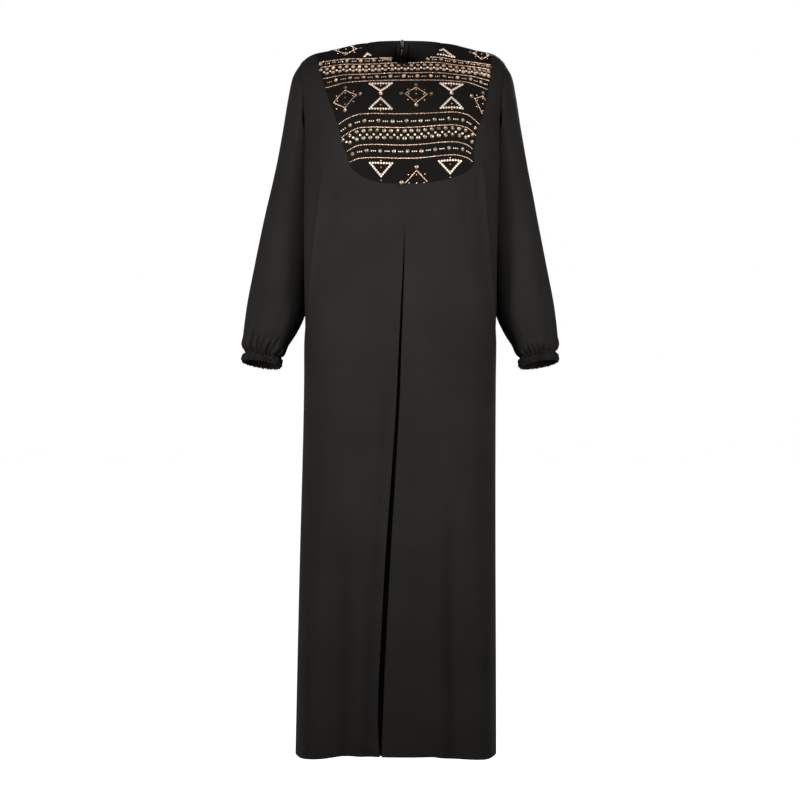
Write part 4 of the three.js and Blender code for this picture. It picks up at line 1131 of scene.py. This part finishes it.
def add_triangle(kinds, u, v, way):
    """Half an hourglass about (u, v): a gold triangle pointing at its middle, above it or below it."""
    point, base = v + way * 0.012, v + way * 0.039
    sides = [(u - 0.022, base), (u, point), (u + 0.022, base)]
    kinds["gold_round"].append(stroke(sides, 0.0048))
    kinds["gold_round"].append(stroke([(u - 0.0165, base), (u + 0.0165, base)], 0.0055))
    kinds["copper_small"].append(np.array([(u, v + way * 0.030), (u, v + way * 0.044)]))


# Sections of a sequin: the rim's height, the inner ring's radius and height, and the middle's height, as shares.
CUP = (1, 0.45, 0.25, 0.55)
DOME = (0, 0.72, 0.75, 1)


def sequin(section, radius, rise, sides):
    """A round sequin: its rim, an inner ring and a middle."""
    rim_z, inner, inner_z, middle_z = section
    angle = 2 * math.pi * np.arange(sides) / sides
    flat = np.stack([np.cos(angle), np.sin(angle)], 1)
    rim = np.column_stack([flat * radius, np.full(sides, rise * rim_z)])
    inside = np.column_stack([flat * radius * inner, np.full(sides, rise * inner_z)])
    points = np.concatenate([rim, inside, [[0, 0, rise * middle_z]]])
    ring = np.arange(sides)
    after = (ring + 1) % sides
    corners = (
        (ring, after, after + sides),
        (ring, after + sides, ring + sides),
        (ring + sides, after + sides, np.full(sides, 2 * sides)),
    )
    return points, np.concatenate([np.stack(three, 1) for three in corners])


def frames_on_bib(across, z):
    """Points of the bib with three unit vectors each: across it, up it, and out of it."""
    small = 0.0005
    right = unit(body_points(FRONT, across + small, z) - body_points(FRONT, across - small, z))
    out = unit(np.cross(right, body_points(FRONT, across, z + small) - body_points(FRONT, across, z - small)))
    return body_points(FRONT, across, z), right, np.cross(out, right), out


def scatter(name, flat_places, shape, material, slot, lift, tilt, margin):
    """Sequins sewn at places of the pattern, each tipped and turned a little, as one joined mesh."""
    across, z = on_bib(flat_places[:, 0], flat_places[:, 1])
    kept = inside_bib(across, z, margin, max(margin, NECK_MARGIN))
    at, right, up, out = frames_on_bib(across[kept], z[kept])
    count = len(at)
    turn = seeded.uniform(0, 2 * math.pi, count)[:, None]
    right = right * np.cos(turn) + up * np.sin(turn)
    out = unit(out + np.tan(seeded.normal(0, tilt, count))[:, None] * right)
    right = unit(right - out * (right * out).sum(1, keepdims=True))
    local, faces = shape
    axes = np.stack([right, np.cross(out, right), out], 1)
    points = (at + out * lift)[:, None] + np.einsum("kj,nji->nki", local, axes)
    every = faces[None] + (np.arange(count) * len(local))[:, None, None]
    piece = make_mesh(name, points, every.reshape(-1, 3), material)
    piece.data.polygons.foreach_set("use_smooth", np.zeros(len(piece.data.polygons), bool))
    place(piece, slot)


def bib_sequins():
    """All the sequins of the bib, one mesh for each kind."""
    places = chart()
    dot, disc = sequin(DOME, 0.0014, 0.0012, 8), sequin(CUP, 0.0040, 0.0011, 10)
    for name, shape, material, slot, lift, tilt, margin in (
        ("bead", sequin(DOME, 0.0012, 0.0011, 7), COPPER, "sequin_copper", 0.0001, 0.16, 0.0020),
        ("copper_small", dot, COPPER, "sequin_copper", 0.0001, 0.16, 0.0010),
        ("copper_big", disc, COPPER, "sequin_copper", 0.0003, 0.17, 0.0010),
        ("bronze_big", disc, BRONZE, "sequin_bronze", 0.0003, 0.17, 0.0010),
        ("gold_small", sequin(DOME, 0.0016, 0.0012, 8), GOLD, "sequin_gold", 0.0001, 0.14, 0.0030),
        ("gold_round", sequin(DOME, 0.0026, 0.0017, 9), GOLD, "sequin_gold", 0.0001, 0.14, 0.0030),
    ):
        scatter("sequins_" + name, places[name], shape, material, slot, lift, tilt, margin)


# ---- Zip and label ----
COIL_PITCH = 0.0013
COIL_BOTTOM, COIL_TOP = -0.545, -0.012
COIL_INSIDE = CLOTH + 0.0030
WIRE_HALF = 0.00042


def zip_teeth():
    """The closed coil: two interlocking rows of bent loops up the middle of the back, inside."""
    turn = np.linspace(0, math.pi, 5)
    loop = np.stack([0.0026 * np.cos(turn) - 0.0006, 0.0011 * np.sin(turn)], 1)
    section = WIRE_HALF * np.array([(1, 0, 1), (0, -1, 1), (-1, 0, -1), (0, 1, -1)])
    points, faces = [], []
    for number, height in enumerate(np.arange(COIL_BOTTOM, COIL_TOP, COIL_PITCH)):
        side = 1 if number % 2 else -1
        at = body_points(BACK, 0.0, np.array(height))
        for sideways, inwards in loop:
            points.append(at + (side * sideways, -COIL_INSIDE - inwards, 0) + section)
        faces.append(grid_faces(np.arange(len(loop) * 4).reshape(-1, 4), closed=True) + number * len(loop) * 4)
    piece = make_mesh("zip_teeth", np.concatenate(points), np.concatenate(faces), NYLON)
    place(piece, "zip_nylon")


def dress_cad_nodes():
    """The zip's tapes, coil, slider and pull tab keep their solids and get their materials."""
    for node, material in (
        ("zip_tape_left", ZIP_TAPE),
        ("zip_tape_right", ZIP_TAPE),
        ("zip_coil", NYLON),
        ("zip_slider", METAL),
        ("zip_pull_tab", METAL),
        ("neck_label", LABEL_SATIN),
    ):
        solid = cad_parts[node]
        solid.data.materials.clear()
        solid.data.materials.append(material)


# ---- Stage ----
FLOOR_HEIGHT = -1.62
FLOOR_REACH = 40
LIGHT_SPREAD = 62
# Soft boxes: name, place, the point that each one faces, its side and its watts.
LIGHTS = (
    ("key", (-1.6, -2.0, -0.25), (0, 0, -0.42), 0.7, 28),
    ("fill", (1.65, -2.0, -0.28), (0, 0, -0.42), 0.7, 23),
    ("back", (0.7, 3.0, 0.8), (0, 0, -0.4), 1.4, 14),
)


def area_light(name, at, towards, side, power):
    """A square soft box that faces a point."""
    data = bpy.data.lights.new(name, "AREA")
    data.size = side
    data.energy = power
    data.spread = math.radians(LIGHT_SPREAD)
    light = bpy.data.objects.new(name, data)
    light.location = at
    light.rotation_euler = (Vector(towards) - Vector(at)).to_track_quat("-Z", "Y").to_euler()
    bpy.context.scene.collection.objects.link(light)


def stage():
    """A plain pale floor below the hanging coat, a white surround, and soft boxes in front and behind."""
    corners = [(a * FLOOR_REACH, b * FLOOR_REACH, FLOOR_HEIGHT) for a, b in ((-1, -1), (1, -1), (1, 1), (-1, 1))]
    look = Look("paper", Roughness=0.95, Specular_IOR_Level=0.1, Emission_Color=(1, 1, 1, 1), Emission_Strength=0.12)
    look.colour(look.noise(3), (0.0, (0.93, 0.93, 0.93)), (1.0, (0.96, 0.96, 0.96)))
    floor = make_mesh("floor", corners, [(0, 1, 2, 3)], look.material)
    world = bpy.data.worlds.new("studio")
    world.use_nodes = True
    world.node_tree.nodes["Background"].inputs["Color"].default_value = (1, 1, 1, 1)
    world.node_tree.nodes["Background"].inputs["Strength"].default_value = 1.0
    bpy.context.scene.world = world
    for light in LIGHTS:
        area_light(*light)
    bpy.context.scene.view_settings.view_transform = "Standard"


front_panel()
bib_panel()
back_panel(1, "back_left_cloth", "back_left")
back_panel(-1, "back_right_cloth", "back_right")
for turned, word in ((1, "left"), (-1, "right")):
    sleeve(turned, f"sleeve_{word}_cloth", f"sleeve_{word}")
    cuff(turned, f"cuff_{word}_cloth", f"cuff_{word}")
bib_sequins()
zip_teeth()
dress_cad_nodes()
stage()
